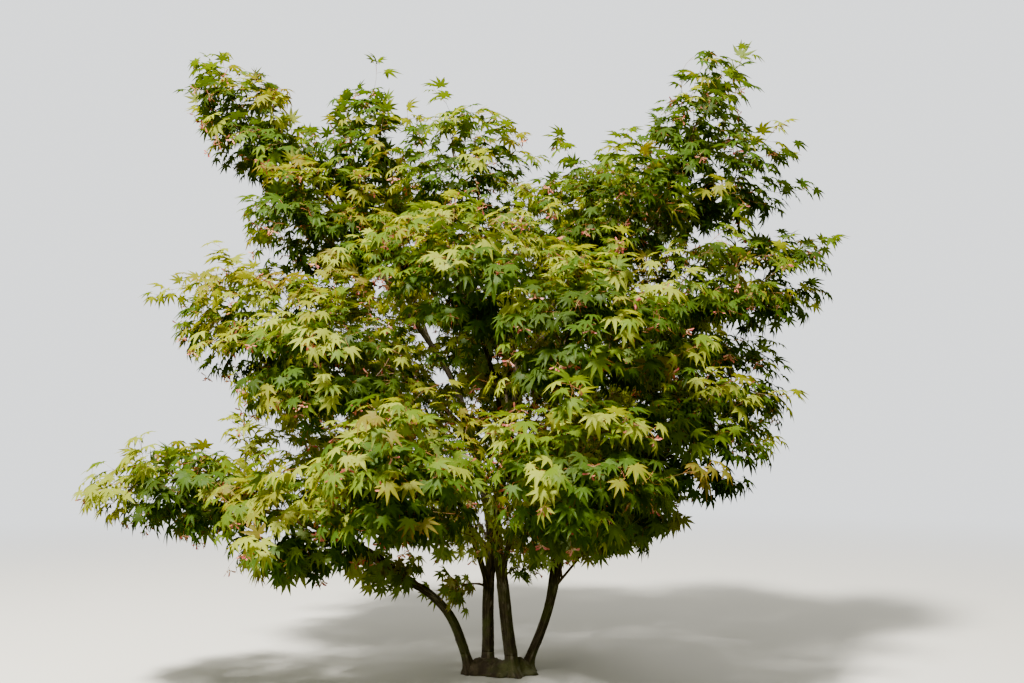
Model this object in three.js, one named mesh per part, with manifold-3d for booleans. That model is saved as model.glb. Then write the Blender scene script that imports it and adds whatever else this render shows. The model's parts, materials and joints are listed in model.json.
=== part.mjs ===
// A Japanese maple with four stems from one root, grown in open ground, in full early-summer leaf.
// Millimetres, +Z up, origin at the middle of the flat cut at ground level. +X is to the right and
// +Y is away when the tree is seen from its front.
//
// The root crown is cut flat at the ground. Four stems stand on it, boughs leave the stems, and each
// bough ends where it enters a mass of leaves. A mass is one stem with twigs on it, and with leaves
// and winged seeds that are one piece with the twigs. Leaves are larger than life: each stands for
// a small spray.
import * as THREE from "three";
import { mergeVertices } from "three/addons/utils/BufferGeometryUtils.js";
import Module from "manifold-3d";

const wasm = await Module();
wasm.setup();

// Clearances
const GAP = 0.3; // between two pieces that meet
const SKIN = 0.36; // how much fatter the copy of a limb is that cuts the bough on its side
const TOUCH = 1.5; // least distance from a leaf or twig to any other piece

// The root crown
const FOOT_TOP = 95; // height at which a stem stands on its foot
const FOOT = { sides: 9, rings: 4 }; // how finely a foot is divided
// A foot swells towards the ground: extra radius as a share of the stem's, how steeply it grows,
// how strongly it parts into three roots, and how far these turn from one foot to the next.
const FLARE = { amount: 1.15, power: 1.8, lobes: 0.3, turn: 1.9 };
const MOUND = { across: 184, deep: 98, high: 44, turn: -0.12 }; // the old wood between the feet
const SOIL = { across: 1000, deep: 400 }; // what is cut away below the ground

// How finely the limbs are divided
const STEM = { sides: 8, rings: 7 };
const LEADER = { sides: 7, rings: 8 };
const BOUGH = { sides: 5, pitch: 330 }; // pitch: distance between two rings of points
const MASS_STEM = { sides: 4, rings: 3 };
const TAPER = 0.85; // a limb's radius falls with this power of the share of its length

// Boughs
const BOUGH_SHARE = 0.66; // radius where a bough leaves a limb's side, as a share of the limb's
const BOUGH_TIP = 8; // radius at the tip, where the mass starts
const BOUGH_LIFT = 0.16; // how far a bough arches upward, as a share of its length
const BEND = { at: 0.45, tip: 0.1, side: 0.12 }; // where it bends, and how far along its limb's way
const ENTRY = 0.66; // a bough ends this deep in its mass, 1 being the surface and 0 the middle

// Twigs, leaves and winged seeds
const TWIG = { radius: 6.4, tip: 4.6, node: 13 }; // node: the last stretch, where the stalks leave
const INSET = [190, 190, 120]; // how far the end of a twig keeps inside its mass's surface
const INNER = 0.2; // least half size of what is left for the ends, as a share of the mass's
const PATH_COST = 0.5; // a twig joins the branch where distance and path together are shortest
const JOINTS = [0.3, 0.6, 0.88]; // where twigs may leave each straight part of a mass's stem
const FORK = { back: 0.35, path: 0.8 }; // where one may leave an earlier twig, and what that costs
// A leaf reaches from its middle to the tip of its middle lobe. The other sizes are shares of that,
// but for its thickness: the length of its stalk, how far the stalk rises, how far the tips hang.
const LEAF = { reach: 204, stalk: 0.36, lift: 0.1, thick: 8, droop: 0.24 };
const LOBES = [
  { angle: 0, reach: 1 },
  { angle: 25, reach: 0.56 },
  { angle: 50, reach: 0.94 },
  { angle: 78, reach: 0.48 },
  { angle: 104, reach: 0.66 },
  { angle: 158, reach: 0.12 },
]; // half a leaf's outline, from its middle lobe to its stalk, in degrees and shares of its reach
const SEEDS = { reach: 66, stalk: 0.8, lift: 0.1, thick: 6, droop: 0 };
const WINGS = [
  { angle: 0, reach: 0.22 },
  { angle: 48, reach: 0.8 },
  { angle: 66, reach: 1 },
  { angle: 84, reach: 0.86 },
  { angle: 140, reach: 0.2 },
]; // half the outline of a pair of winged seeds, the same way
const STEM_END = { deep: 0.12, bend: 0.4 }; // where a mass's stem ends on its far side, and its bend
const TILT = { up: 0.5, out: 0.85 }; // a leaf faces partly up and partly out of the crown
const OUTWARD = { mass: 0.62, tree: 0.38 }; // the way out of the crown is partly out of each
const END_LEAF = { ahead: 0.6, out: 0.7, down: 0.5 }; // the direction of a shoot's end leaf
const SIDE_LEAF = { back: 0.25, loose: 0.2, down: 0.35 }; // and of its two side leaves
const STALK_ROOT = 0.2; // the share of a stalk that isn't tested for room
const LEAN = -0.1; // how far a stalk may lean back into the face it grows from
const TRIES = 16; // a leaf that doesn't fit is turned this many times before it is skipped
const SHAKE = { first: 0.08, more: 0.06 }; // how far it is turned, and how much more each time
// The places tried for the end of each twig: how many, how deep in the mass and how high at most. One
// in so many may lie in the heart of the crown, where its room counts for less.
const PLACES = { tries: 150, least: 0.5, rise: 0.9, heartEvery: 3, heartRoom: 0.85 };
const FIRST_SEED = 49; // each mass has a seed of its own, counted on from here
const FRINGE = 0.13; // how far a leaf may lean over the border between two masses

// Inside these ellipsoids, the heart of the crown, a mass reaches out of its own until it meets the
// next one, though not more than so many times its size.
const HEARTS = [
  { middle: [-50, 60, 1580], half: [1230, 1080, 900] },
  { middle: [-760, 60, 2430], half: [500, 430, 420] },
  { middle: [60, -560, 980], half: [940, 620, 420] },
  { middle: [820, 60, 2380], half: [420, 420, 330] },
];
const HEART_REACH = 2.2;
// The surface of a mass swells and sinks by a share of its size, in waves this steep along each axis.
const UNEVEN = { amount: 0.1, across: 0.009, deep: 0.008, high: [0.005, 0.006] };

const CROWN_MIDDLE = new THREE.Vector3(0, 0, 1500);
const UP = new THREE.Vector3(0, 0, 1);
const BARK = { color: 0x5b5347, roughness: 0.9, metalness: 0 };
const FOLIAGE = { color: 0x8fa64a, roughness: 0.6, metalness: 0 };

// The stems and the two long boughs, by the points they pass through, with the radius at each end.
const STEMS = [
  {
    name: "stem_left",
    through: [[-134, 0, -60], [-140, 0, 0], [-236, -18, 270], [-350, -55, 400], [-480, -105, 475]],
    radius: [25, 17],
  },
  {
    name: "stem_middle_left",
    through: [[-57, 42, -60], [-56, 44, 0], [-55, 46, 380], [-38, 52, 640], [-100, 62, 1010]],
    radius: [32, 20],
  },
  {
    name: "stem_middle_right",
    through: [[78, -42, -60], [70, -42, 0], [26, -42, 380], [-14, -22, 780], [48, -38, 1130]],
    radius: [34, 21],
  },
  {
    name: "stem_right",
    through: [[124, 22, -60], [130, 22, 0], [232, 35, 260], [328, 60, 640], [396, 80, 1110]],
    radius: [27, 16],
  },
];
const LEADERS = [
  {
    name: "leader_left",
    from: "stem_middle_left",
    through: [[-235, 62, 1440], [-500, 60, 1850], [-760, 48, 2230]],
    tip: 11,
  },
  {
    name: "leader_right",
    from: "stem_middle_right",
    through: [[130, -55, 1520], [340, -82, 1790], [790, -98, 2230]],
    tip: 11,
  },
];

// The masses of leaves: the limb and the share of its length where the bough leaves it (1 is its
// tip), the middle of the mass, its half sizes across, deep and high, and how many shoots it has.
// Where lean isn't 0, the mass leans to the right by that share of the rise over its middle. One mass
// has no bough and stands straight on its limb.
const massOf = (name, on, share, middle, half, shoots, { lean = 0, hasBough = true } = {}) => ({
  name,
  on,
  share,
  middle,
  half,
  shoots,
  lean,
  hasBough,
});
const MASSES = [
  massOf("low_left_outer", "stem_left", 1, [-1440, -470, 950], [510, 440, 290], 5),
  massOf("low_left_inner", "stem_left", 0.9, [-870, -720, 820], [440, 440, 320], 5),
  massOf("front_left", "stem_middle_left", 0.52, [-380, -1180, 1030], [420, 420, 340], 5),
  massOf("left_outer", "leader_left", 0.12, [-1225, -60, 1740], [440, 500, 350], 6),
  massOf("left_inner", "leader_left", 0.16, [-800, -700, 1500], [450, 440, 370], 6),
  massOf("upper_left", "leader_left", 0.72, [-940, -140, 2250], [390, 450, 350], 5),
  massOf("top_left", "leader_left", 1, [-1300, 90, 2800], [370, 400, 430], 6, { lean: -0.5 }),
  massOf("top_left_inner", "leader_left", 0.9, [-770, 60, 2650], [270, 360, 380], 4, { lean: 0.3 }),
  massOf("back_top_left", "leader_left", 0.5, [-660, 680, 2300], [470, 450, 390], 4),
  massOf("back_left", "leader_left", 0.05, [-1000, 820, 1600], [490, 470, 390], 4),
  massOf("back_low_left", "stem_middle_left", 0.68, [-860, 760, 960], [480, 450, 330], 4),
  massOf("centre_top", "leader_right", 0.24, [-200, -90, 2490], [410, 450, 390], 6),
  massOf("centre_front", "stem_middle_right", 0.95, [-180, -800, 1900], [460, 440, 370], 6),
  massOf("front_low", "stem_middle_right", 0.56, [330, -1290, 1060], [430, 420, 330], 5),
  massOf("front_right", "stem_middle_right", 0.78, [380, -1020, 1620], [440, 420, 370], 6),
  massOf("right_shoulder", "leader_right", 0.62, [570, -330, 2290], [410, 440, 350], 5),
  massOf("peak", "leader_right", 1, [990, -60, 2720], [290, 360, 480], 5, { lean: 0.25 }),
  massOf("right_outer", "leader_right", 0.86, [1190, 20, 2460], [370, 440, 300], 5),
  massOf("back_top_right", "leader_right", 0.45, [500, 620, 2370], [470, 450, 390], 4),
  massOf("back_centre", "stem_middle_right", 0.97, [-20, 980, 1700], [470, 450, 390], 5),
  massOf("far_right", "stem_right", 1, [1350, 100, 1960], [430, 460, 320], 4),
  massOf("right_middle", "stem_right", 0.94, [880, -440, 1830], [440, 440, 360], 5),
  massOf("low_right", "stem_right", 0.7, [840, -600, 1190], [460, 440, 350], 5),
  massOf("low_right_outer", "stem_right", 0.86, [1150, 160, 1400], [430, 480, 370], 5),
  massOf("right_skirt", "stem_right", 0.6, [600, -20, 800], [380, 380, 270], 3, { hasBough: false }),
  massOf("back_right", "stem_right", 0.97, [930, 830, 1660], [490, 460, 380], 5),
  massOf("back_low_right", "stem_right", 0.52, [380, 1000, 1000], [490, 450, 350], 4),
];

const V = (x, y, z) => new THREE.Vector3(x, y, z);

// Seeded numbers from 0 to 1.
function seeded(seed) {
  let state = seed >>> 0;
  return () => {
    state = (state + 0x6d2b79f5) >>> 0;
    let t = Math.imul(state ^ (state >>> 15), 1 | state);
    t = (t + Math.imul(t ^ (t >>> 7), 61 | t)) ^ t;
    return ((t ^ (t >>> 14)) >>> 0) / 4294967296;
  };
}

// A closed solid from points and triangles.
function solidFrom(points, triangles) {
  return new wasm.Manifold(
    new wasm.Mesh({
      numProp: 3,
      vertProperties: new Float32Array(points.flatMap((p) => [p.x, p.y, p.z])),
      triVerts: new Uint32Array(triangles.flat()),
    }),
  );
}

// A closed BufferGeometry as a solid.
function solidOf(geometry) {
  const bare = geometry.index ? geometry.toNonIndexed() : geometry.clone();
  bare.deleteAttribute("normal");
  bare.deleteAttribute("uv");
  const merged = mergeVertices(bare, 1e-4);
  return new wasm.Manifold(
    new wasm.Mesh({
      numProp: 3,
      vertProperties: merged.attributes.position.array,
      triVerts: new Uint32Array(merged.index.array),
    }),
  );
}

// A named mesh from a solid, with a material of its own.
function meshOf(name, solid, finish) {
  const mesh = solid.getMesh();
  const geometry = new THREE.BufferGeometry();
  geometry.setAttribute("position", new THREE.BufferAttribute(new Float32Array(mesh.vertProperties), 3));
  geometry.setIndex(new THREE.BufferAttribute(new Uint32Array(mesh.triVerts), 1));
  geometry.computeVertexNormals();
  const node = new THREE.Mesh(geometry, new THREE.MeshStandardMaterial(finish));
  node.name = name;
  return node;
}

// The largest body of a solid, so that a loose scrap is dropped and a sealed hollow is filled.
function largest(solid) {
  return solid.decompose().reduce((best, body) => (body.volume() > best.volume() ? body : best));
}

// A limb's radius falls from its foot to its tip.
const radiusAt = (limb, t) => limb.radius[0] + (limb.radius[1] - limb.radius[0]) * t ** TAPER;

// A closed tube round part of a limb's curve, with flat ends. The first ring can be laid in the
// plane of another limb's end, so that the two faces lie parallel.
function tube(limb, { a = 0, b = 1, sides = 6, rings = 4, grow = 0, face = null, swell = () => 1 }) {
  const points = [];
  const triangles = [];
  let across = null;
  for (let i = 0; i < rings; i++) {
    const t = a + ((b - a) * i) / (rings - 1);
    const along = i === 0 && face ? face.clone() : limb.curve.getTangent(t);
    if (!across) across = V(0, 1, 0).cross(along);
    across.addScaledVector(along, -across.dot(along)).normalize();
    const over = along.clone().cross(across);
    for (let k = 0; k < sides; k++) {
      const angle = (2 * Math.PI * k) / sides;
      const r = radiusAt(limb, t) * swell(t, angle) + grow;
      const rim = limb.curve.getPoint(t);
      rim.addScaledVector(across, r * Math.cos(angle)).addScaledVector(over, r * Math.sin(angle));
      points.push(rim);
    }
  }
  for (let i = 0; i < rings - 1; i++)
    for (let k = 0; k < sides; k++) {
      const low = i * sides;
      const next = (k + 1) % sides;
      triangles.push([low + k, low + next, low + sides + next]);
      triangles.push([low + k, low + sides + next, low + sides + k]);
    }
  const last = (rings - 1) * sides;
  for (let k = 1; k < sides - 1; k++) triangles.push([0, k + 1, k], [last, last + k, last + k + 1]);
  return solidFrom(points, triangles);
}

// The share of a rising curve at which it reaches a height.
function shareAtHeight(curve, height) {
  let [low, high] = [0, 1];
  for (let i = 0; i < 40; i++) {
    const middle = (low + high) / 2;
    if (curve.getPoint(middle).z < height) low = middle;
    else high = middle;
  }
  return low;
}

const ringsFor = (length) => Math.max(3, Math.round(length / BOUGH.pitch) + 2);

// Where a piece starts on its limb: a gap beyond the tip, or on the axis and cut by the limb's side.
function startOn(limb, share) {
  const point = limb.curve.getPoint(share);
  const along = limb.curve.getTangent(share);
  if (share === 1) point.addScaledVector(along, GAP);
  return { point, along, atTip: share === 1 };
}

// A piece on a limb's side is cut by a fatter copy of the limb, which leaves the gap between them.
function cutBy(solid, limb) {
  return largest(solid.subtract(tube(limb, { ...limb.build, grow: SKIN })));
}

// The stems, from the top of their feet to their tips, and the feet themselves.
function makeStems(limbs) {
  return STEMS.map((row, i) => {
    const curve = new THREE.CatmullRomCurve3(row.through.map((p) => V(...p)), false, "centripetal");
    const limb = { curve, radius: row.radius };
    const top = shareAtHeight(curve, FOOT_TOP);
    const ground = shareAtHeight(curve, 0);
    const face = curve.getTangent(top);
    const lift = shareAtHeight(curve, FOOT_TOP + GAP / face.z);
    limb.build = { a: lift, ...STEM, face };
    limb.solid = tube(limb, limb.build);
    limbs.set(row.name, limb);
    const swell = (t, angle) => {
      const down = Math.max(0, (top - t) / (top - ground));
      const lobes = 1 + FLARE.lobes * Math.cos(3 * angle + FLARE.turn * i);
      return 1 + FLARE.amount * down ** FLARE.power * lobes;
    };
    return tube(limb, { a: ground / 2, b: top, ...FOOT, swell });
  });
}

// The root crown: the feet and the old wood between them, cut flat at the ground.
function makeRootCrown(feet) {
  const mound = new THREE.SphereGeometry(1, 12, 6);
  mound.rotateX(Math.PI / 2);
  mound.scale(MOUND.across, MOUND.deep, MOUND.high);
  mound.rotateZ(MOUND.turn);
  const soil = new THREE.BoxGeometry(SOIL.across, SOIL.across, SOIL.deep);
  soil.translate(0, 0, -SOIL.deep / 2);
  return largest(wasm.Manifold.union([solidOf(mound), ...feet]).subtract(solidOf(soil)));
}

// The two long boughs go on from the tips of the middle stems.
function makeLeaders(limbs) {
  for (const row of LEADERS) {
    const stem = limbs.get(row.from);
    const { point, along } = startOn(stem, 1);
    const through = [point, ...row.through.map((p) => V(...p))];
    const curve = new THREE.CatmullRomCurve3(through, false, "centripetal");
    const limb = { curve, radius: [stem.radius[1], row.tip] };
    limb.build = { ...LEADER, face: along };
    limb.solid = tube(limb, limb.build);
    limb.follows = stem;
    limbs.set(row.name, limb);
  }
}

// Where a point lies from the middle of an ellipsoid, a mass's or a heart's, in its half sizes.
function fromMiddle({ middle: [x, y, z], half: [a, b, c], lean = 0 }, p) {
  const rise = p.z - z;
  return V((p.x - x - lean * rise) / a, (p.y - y) / b, rise / c);
}

// How deep a point lies in an ellipsoid: 0 at its middle, 1 at its surface.
const depthIn = (room, p) => fromMiddle(room, p).length();

// The same ellipsoid, smaller by an inset.
const inner = ({ middle, half, lean }, inset) => ({
  middle,
  lean,
  half: half.map((size, axis) => Math.max(size - inset[axis], INNER * size)),
});

// A mass's own room is its ellipsoid, a little uneven, and in the heart of the crown more than that.
function inRoom(mass, p, inset) {
  const { amount, across, deep, high } = UNEVEN;
  const wave = Math.sin(across * p.x + high[0] * p.z) * Math.sin(deep * p.y - high[1] * p.z);
  const depth = depthIn(inner(mass, inset), p);
  const inHeart = HEARTS.some((heart) => depthIn(inner(heart, inset), p) <= 1);
  return depth <= 1 + amount * wave || (inHeart && depth <= HEART_REACH);
}

// A mass's space is the part of its room that lies deeper in it than in any other mass.
function inSpace(mass, p, fringe, inset = [0, 0, 0]) {
  if (!inRoom(mass, p, inset)) return false;
  const depth = depthIn(mass, p);
  return MASSES.every((other) => other === mass || depthIn(other, p) > depth - fringe);
}

// A mass's bough arches from its limb to where it enters the mass.
function makeBough(mass, limbs) {
  const parent = limbs.get(mass.on);
  const { point, along, atTip } = startOn(parent, mass.share);
  const middle = V(...mass.middle);
  const tip = middle.clone().lerp(point, ENTRY / depthIn(mass, point));
  const length = tip.distanceTo(point);
  const bend = point.clone().lerp(tip, BEND.at).addScaledVector(UP, BOUGH_LIFT * length);
  bend.addScaledVector(along, (atTip ? BEND.tip : BEND.side) * length);
  const curve = new THREE.QuadraticBezierCurve3(point, bend, tip);
  const foot = radiusAt(parent, mass.share) * (atTip ? 1 : BOUGH_SHARE);
  const limb = { curve, radius: [foot, BOUGH_TIP] };
  limb.build = { sides: BOUGH.sides, rings: ringsFor(length), face: atTip ? along : null };
  limb.solid = tube(limb, limb.build);
  for (const other of limbs.values()) {
    const isNear = other.on === parent || other.follows === parent || (other === parent && !atTip);
    if (isNear) limb.solid = cutBy(limb.solid, other);
  }
  limb.on = parent;
  return limb;
}

// A blade's points: its rim from one side of the stalk round the tip to the other, then the middle
// of its upper face and of its under face.
function bladePoints(size, half, middle, along, normal) {
  const side = normal.clone().cross(along);
  const place = (x, y, z) =>
    middle.clone().addScaledVector(along, x).addScaledVector(side, y).addScaledVector(normal, z);
  const rim = (part, sign) => {
    const angle = (part.angle * Math.PI) / 180;
    const r = part.reach * size.reach;
    return place(r * Math.cos(angle), sign * r * Math.sin(angle), -size.droop * part.reach * r);
  };
  return [
    ...half.slice().reverse().map((part) => rim(part, -1)),
    ...half.slice(1).map((part) => rim(part, 1)),
    place(0, 0, size.thick / 2),
    place(0, 0, -size.thick / 2),
  ];
}

// The triangles of a blade, open at its stalk. They count the points from a given place on.
function bladeFaces(half, first) {
  const top = first + half.length * 2 - 1;
  const faces = [];
  for (let i = first; i < top - 1; i++) faces.push([top, i, i + 1], [top + 1, i + 1, i]);
  return faces;
}

// A blade by itself with a plain point for a stalk, to see whether there is room for it.
function trialBlade(points, half, stalk) {
  const top = half.length * 2 - 1;
  const faces = bladeFaces(half, 0);
  const end = points.length;
  faces.push([top, top - 1, end], [top, end, 0], [top + 1, end, top - 1], [top + 1, 0, end]);
  return solidFrom([...points, stalk], faces);
}

// A shoot: a three-sided twig whose last stretch has four places for a stalk. They are its end, its
// two upper sides and its under side, each given by the corners of the face a stalk grows from.
function makeShoot(root, end, tilt) {
  const way = end.clone().sub(root).normalize();
  const up = tilt.clone().addScaledVector(way, -tilt.dot(way)).normalize();
  const side = up.clone().cross(way);
  const [wide, low] = [Math.sin(Math.PI / 3), -Math.cos(Math.PI / 3)]; // corners of a triangle
  const ring = (centre, r) => [
    centre.clone().addScaledVector(side, wide * r).addScaledVector(up, low * r),
    centre.clone().addScaledVector(up, r),
    centre.clone().addScaledVector(side, -wide * r).addScaledVector(up, low * r),
  ];
  const points = [
    ...ring(root, TWIG.radius),
    ...ring(end.clone().addScaledVector(way, -TWIG.node), TWIG.tip),
    ...ring(end, TWIG.tip),
  ];
  const upperOut = (sign) => side.clone().multiplyScalar(wide * sign).addScaledVector(up, -low);
  const places = {
    end: { loop: [6, 7, 8], out: way },
    plus: { loop: [3, 4, 7, 6], out: upperOut(1) },
    minus: { loop: [7, 4, 5, 8], out: upperOut(-1) },
    under: { loop: [3, 6, 8, 5], out: up.clone().negate() },
  };
  return { root, end, way, up, side, points, places, blades: {} };
}

// The middle of the face that a stalk grows from.
function faceMiddle(shoot, place) {
  const sum = V(0, 0, 0);
  place.loop.forEach((i) => sum.add(shoot.points[i]));
  return sum.multiplyScalar(1 / place.loop.length);
}

// A shoot as one closed solid: the twig, and a stalk and blade for each place that has one.
function shootSolid(shoot) {
  const points = shoot.points.slice();
  const faces = [[0, 2, 1]];
  for (const k of [0, 1, 2]) {
    const next = (k + 1) % 3;
    faces.push([k, next, 3 + next], [k, 3 + next, 3 + k]);
  }
  for (const [name, { loop }] of Object.entries(shoot.places)) {
    const one = shoot.blades[name];
    if (!one) {
      for (let i = 1; i < loop.length - 1; i++) faces.push([loop[0], loop[i], loop[i + 1]]);
      continue;
    }
    const first = points.length;
    const top = first + one.half.length * 2 - 1;
    points.push(...one.points);
    faces.push(...bladeFaces(one.half, first));
    const base = [top - 1, top, first, top + 1];
    const corners = loop.length;
    for (let i = 0; i < corners; i++) {
      const [a, b] = [loop[i], loop[(i + 1) % corners]];
      const [c, d] = [base[i], base[i + 1] ?? base[0]];
      faces.push([a, b, d], [a, d, c]);
    }
    if (corners === 3) faces.push([loop[0], base[0], base[3]]);
  }
  return solidFrom(points, faces);
}

// Whether a solid keeps clear of all those in a list.
function isClear(solid, others) {
  const box = solid.boundingBox();
  return others.every(({ solid: other, box: room }) => {
    for (let k = 0; k < 3; k++)
      if (box.min[k] > room.max[k] + TOUCH || box.max[k] < room.min[k] - TOUCH) return true;
    return solid.minGap(other, TOUCH * 2) >= TOUCH;
  });
}

// The way out of the crown at a point of a mass: out of the mass and out of the tree.
function outward(mass, p) {
  const local = fromMiddle(mass, p).normalize();
  const whole = p.clone().sub(CROWN_MIDDLE).normalize();
  return local.multiplyScalar(OUTWARD.mass).addScaledVector(whole, OUTWARD.tree).normalize();
}

// A seeded place in the outer part of a mass's ellipsoid or beyond it, to a given depth.
function seededPlace(mass, deepest, random) {
  const turn = 2 * Math.PI * random();
  const rise = PLACES.rise * (2 * random() - 1);
  const flat = Math.sqrt(1 - rise * rise);
  const depth = PLACES.least + (deepest - PLACES.least) * random();
  const place = V(flat * Math.cos(turn), flat * Math.sin(turn), rise).multiplyScalar(depth);
  place.multiply(V(...mass.half));
  place.x += mass.lean * place.z;
  return place.add(V(...mass.middle));
}

// The ends of a mass's twigs, spread evenly: each is the seeded place with the most room round it.
function twigEnds(mass, taken, random) {
  const ends = [];
  const body = inner(mass, INSET);
  for (let n = 0; n < mass.shoots; n++) {
    let best = null;
    for (let k = 0; k < PLACES.tries; k++) {
      const isDeep = k % PLACES.heartEvery === 0;
      const p = seededPlace(body, isDeep ? HEART_REACH : 1, random);
      if (!inSpace(mass, p, -FRINGE, INSET)) continue;
      const apart = Math.min(...[...taken, ...ends].map((q) => q.distanceTo(p)));
      const room = apart * (isDeep ? PLACES.heartRoom : 1);
      if (!best || room > best.room) best = { p, room };
    }
    if (best) ends.push(best.p);
  }
  return ends;
}

// The stem of a mass goes on from its bough's tip, or out of its limb's side, past the middle.
function makeMassStem(mass, bough, parent) {
  const foot = bough ? startOn(bough, 1) : startOn(parent, mass.share);
  const far = V(...mass.middle).lerp(foot.point, -STEM_END.deep / depthIn(mass, foot.point));
  const bend = foot.point.clone().lerp(far, 0.5);
  const reach = far.distanceTo(foot.point);
  if (bough) bend.copy(foot.point).addScaledVector(foot.along, STEM_END.bend * reach);
  const curve = new THREE.QuadraticBezierCurve3(foot.point, bend, far);
  const stem = { curve, radius: [BOUGH_TIP, TWIG.radius] };
  const solid = tube(stem, { ...MASS_STEM, face: bough ? foot.along : null });
  const rings = curve.getPoints(MASS_STEM.rings - 1);
  const joints = [];
  for (let i = 1; i < rings.length; i++)
    for (const part of JOINTS) {
      const p = rings[i - 1].clone().lerp(rings[i], part);
      joints.push({ p, path: p.distanceTo(foot.point) });
    }
  return { foot: foot.point, joints, solid: bough ? solid : cutBy(solid, parent) };
}

// One mass: a stem, shoots that join the branch where that is shortest, a pair of leaves and an end
// leaf on each shoot, and a pair of winged seeds under the first.
function makeMass(mass, bough, parent, others, allEnds, seed) {
  const random = seeded(seed);
  const stem = makeMassStem(mass, bough, parent);
  const own = [{ solid: stem.solid, box: stem.solid.boundingBox() }];
  const shoots = [];
  const ends = twigEnds(mass, allEnds, random);
  ends.sort((p, q) => p.distanceTo(stem.foot) - q.distanceTo(stem.foot));
  for (const end of ends) {
    const cost = (joint) => joint.p.distanceTo(end) + PATH_COST * joint.path;
    const joint = stem.joints.reduce((best, one) => (cost(one) < cost(best) ? one : best));
    const out = outward(mass, end);
    const tilt = UP.clone().multiplyScalar(TILT.up).addScaledVector(out, TILT.out).normalize();
    const shoot = makeShoot(joint.p, end, tilt);
    const twig = shootSolid(shoot);
    if (!isClear(twig, others)) continue;
    shoots.push({ ...shoot, tilt, out });
    own.push({ solid: twig, box: twig.boundingBox() });
    const path = joint.path + joint.p.distanceTo(end);
    stem.joints.push({ p: end.clone().lerp(joint.p, FORK.back), path: path * FORK.path });
  }
  allEnds.push(...shoots.map((shoot) => shoot.end));
  const fit = (shoot, name, size, half, way, tilt) => {
    const place = shoot.places[name];
    const face = faceMiddle(shoot, place);
    for (let k = 0; k < TRIES; k++) {
      const loose = 2 * (SHAKE.first + SHAKE.more * k);
      const shake = () => V(random() - 0.5, random() - 0.5, random() - 0.5).multiplyScalar(loose);
      const normal = tilt.clone().add(shake()).normalize();
      const along = way.clone().add(shake());
      along.addScaledVector(normal, -along.dot(normal)).normalize();
      if (along.dot(place.out) < LEAN) continue;
      const middle = face.clone().addScaledVector(along, size.stalk * size.reach);
      middle.addScaledVector(place.out, size.lift * size.reach);
      const points = bladePoints(size, half, middle, along, normal);
      const trial = trialBlade(points, half, face.clone().lerp(middle, STALK_ROOT));
      if (points.every((p) => inSpace(mass, p, FRINGE)) && isClear(trial, [...others, ...own])) {
        own.push({ solid: trial, box: trial.boundingBox() });
        shoot.blades[name] = { points, half };
        return;
      }
    }
  };
  shoots.forEach((shoot, n) => {
    const { way, out, tilt, side } = shoot;
    const ahead = way.clone().multiplyScalar(END_LEAF.ahead).addScaledVector(out, END_LEAF.out);
    fit(shoot, "end", LEAF, LOBES, ahead.addScaledVector(UP, -END_LEAF.down).normalize(), tilt);
    for (const [name, sign] of [["plus", 1], ["minus", -1]]) {
      const back = SIDE_LEAF.back + SIDE_LEAF.loose * random();
      const aside = side.clone().multiplyScalar(sign).addScaledVector(way, -back);
      fit(shoot, name, LEAF, LOBES, aside.addScaledVector(UP, -SIDE_LEAF.down).normalize(), tilt);
    }
    if (n === 0) fit(shoot, "under", SEEDS, WINGS, shoot.up.clone().negate(), way);
  });
  return largest(wasm.Manifold.union([stem.solid, ...shoots.map(shootSolid)]));
}

const tree = new THREE.Group();
tree.name = "japanese_maple";
const limbs = new Map();
const feet = makeStems(limbs);
const placed = [];

function add(name, solid, finish) {
  placed.push({ solid, box: solid.boundingBox() });
  tree.add(meshOf(name, solid, finish));
}

add("root_crown", makeRootCrown(feet), BARK);
makeLeaders(limbs);
for (const [name, limb] of limbs) add(name, limb.solid, BARK);
const boughs = new Map();
for (const mass of MASSES) {
  if (!mass.hasBough) continue;
  const bough = makeBough(mass, limbs);
  limbs.set(`bough_${mass.name}`, bough);
  boughs.set(mass.name, bough);
  add(`bough_${mass.name}`, bough.solid, BARK);
}
const allEnds = [];
MASSES.forEach((mass, i) => {
  const bough = boughs.get(mass.name);
  const solid = makeMass(mass, bough, limbs.get(mass.on), placed, allEnds, FIRST_SEED + i);
  add(`leaves_${mass.name}`, solid, FOLIAGE);
});

export default tree;
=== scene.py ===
"""The looks of a Japanese maple with four stems from one root, in full early-summer leaf.

Metres, +Z up, origin at the middle of the flat cut at ground level, +X to the right and +Y away
when the tree is seen from its front.

The limbs and the spaces of the leaf masses follow the same rules and sizes as the solids. The
limbs get bark with real relief. Each mass grows on from its bough: twigs reach seeded places that
fill the mass's own space, and carry opposite leaves and winged seeds.
"""

from __future__ import annotations

import json
import logging
import math
from collections.abc import Callable
from dataclasses import dataclass, fields
from enum import Enum

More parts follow.
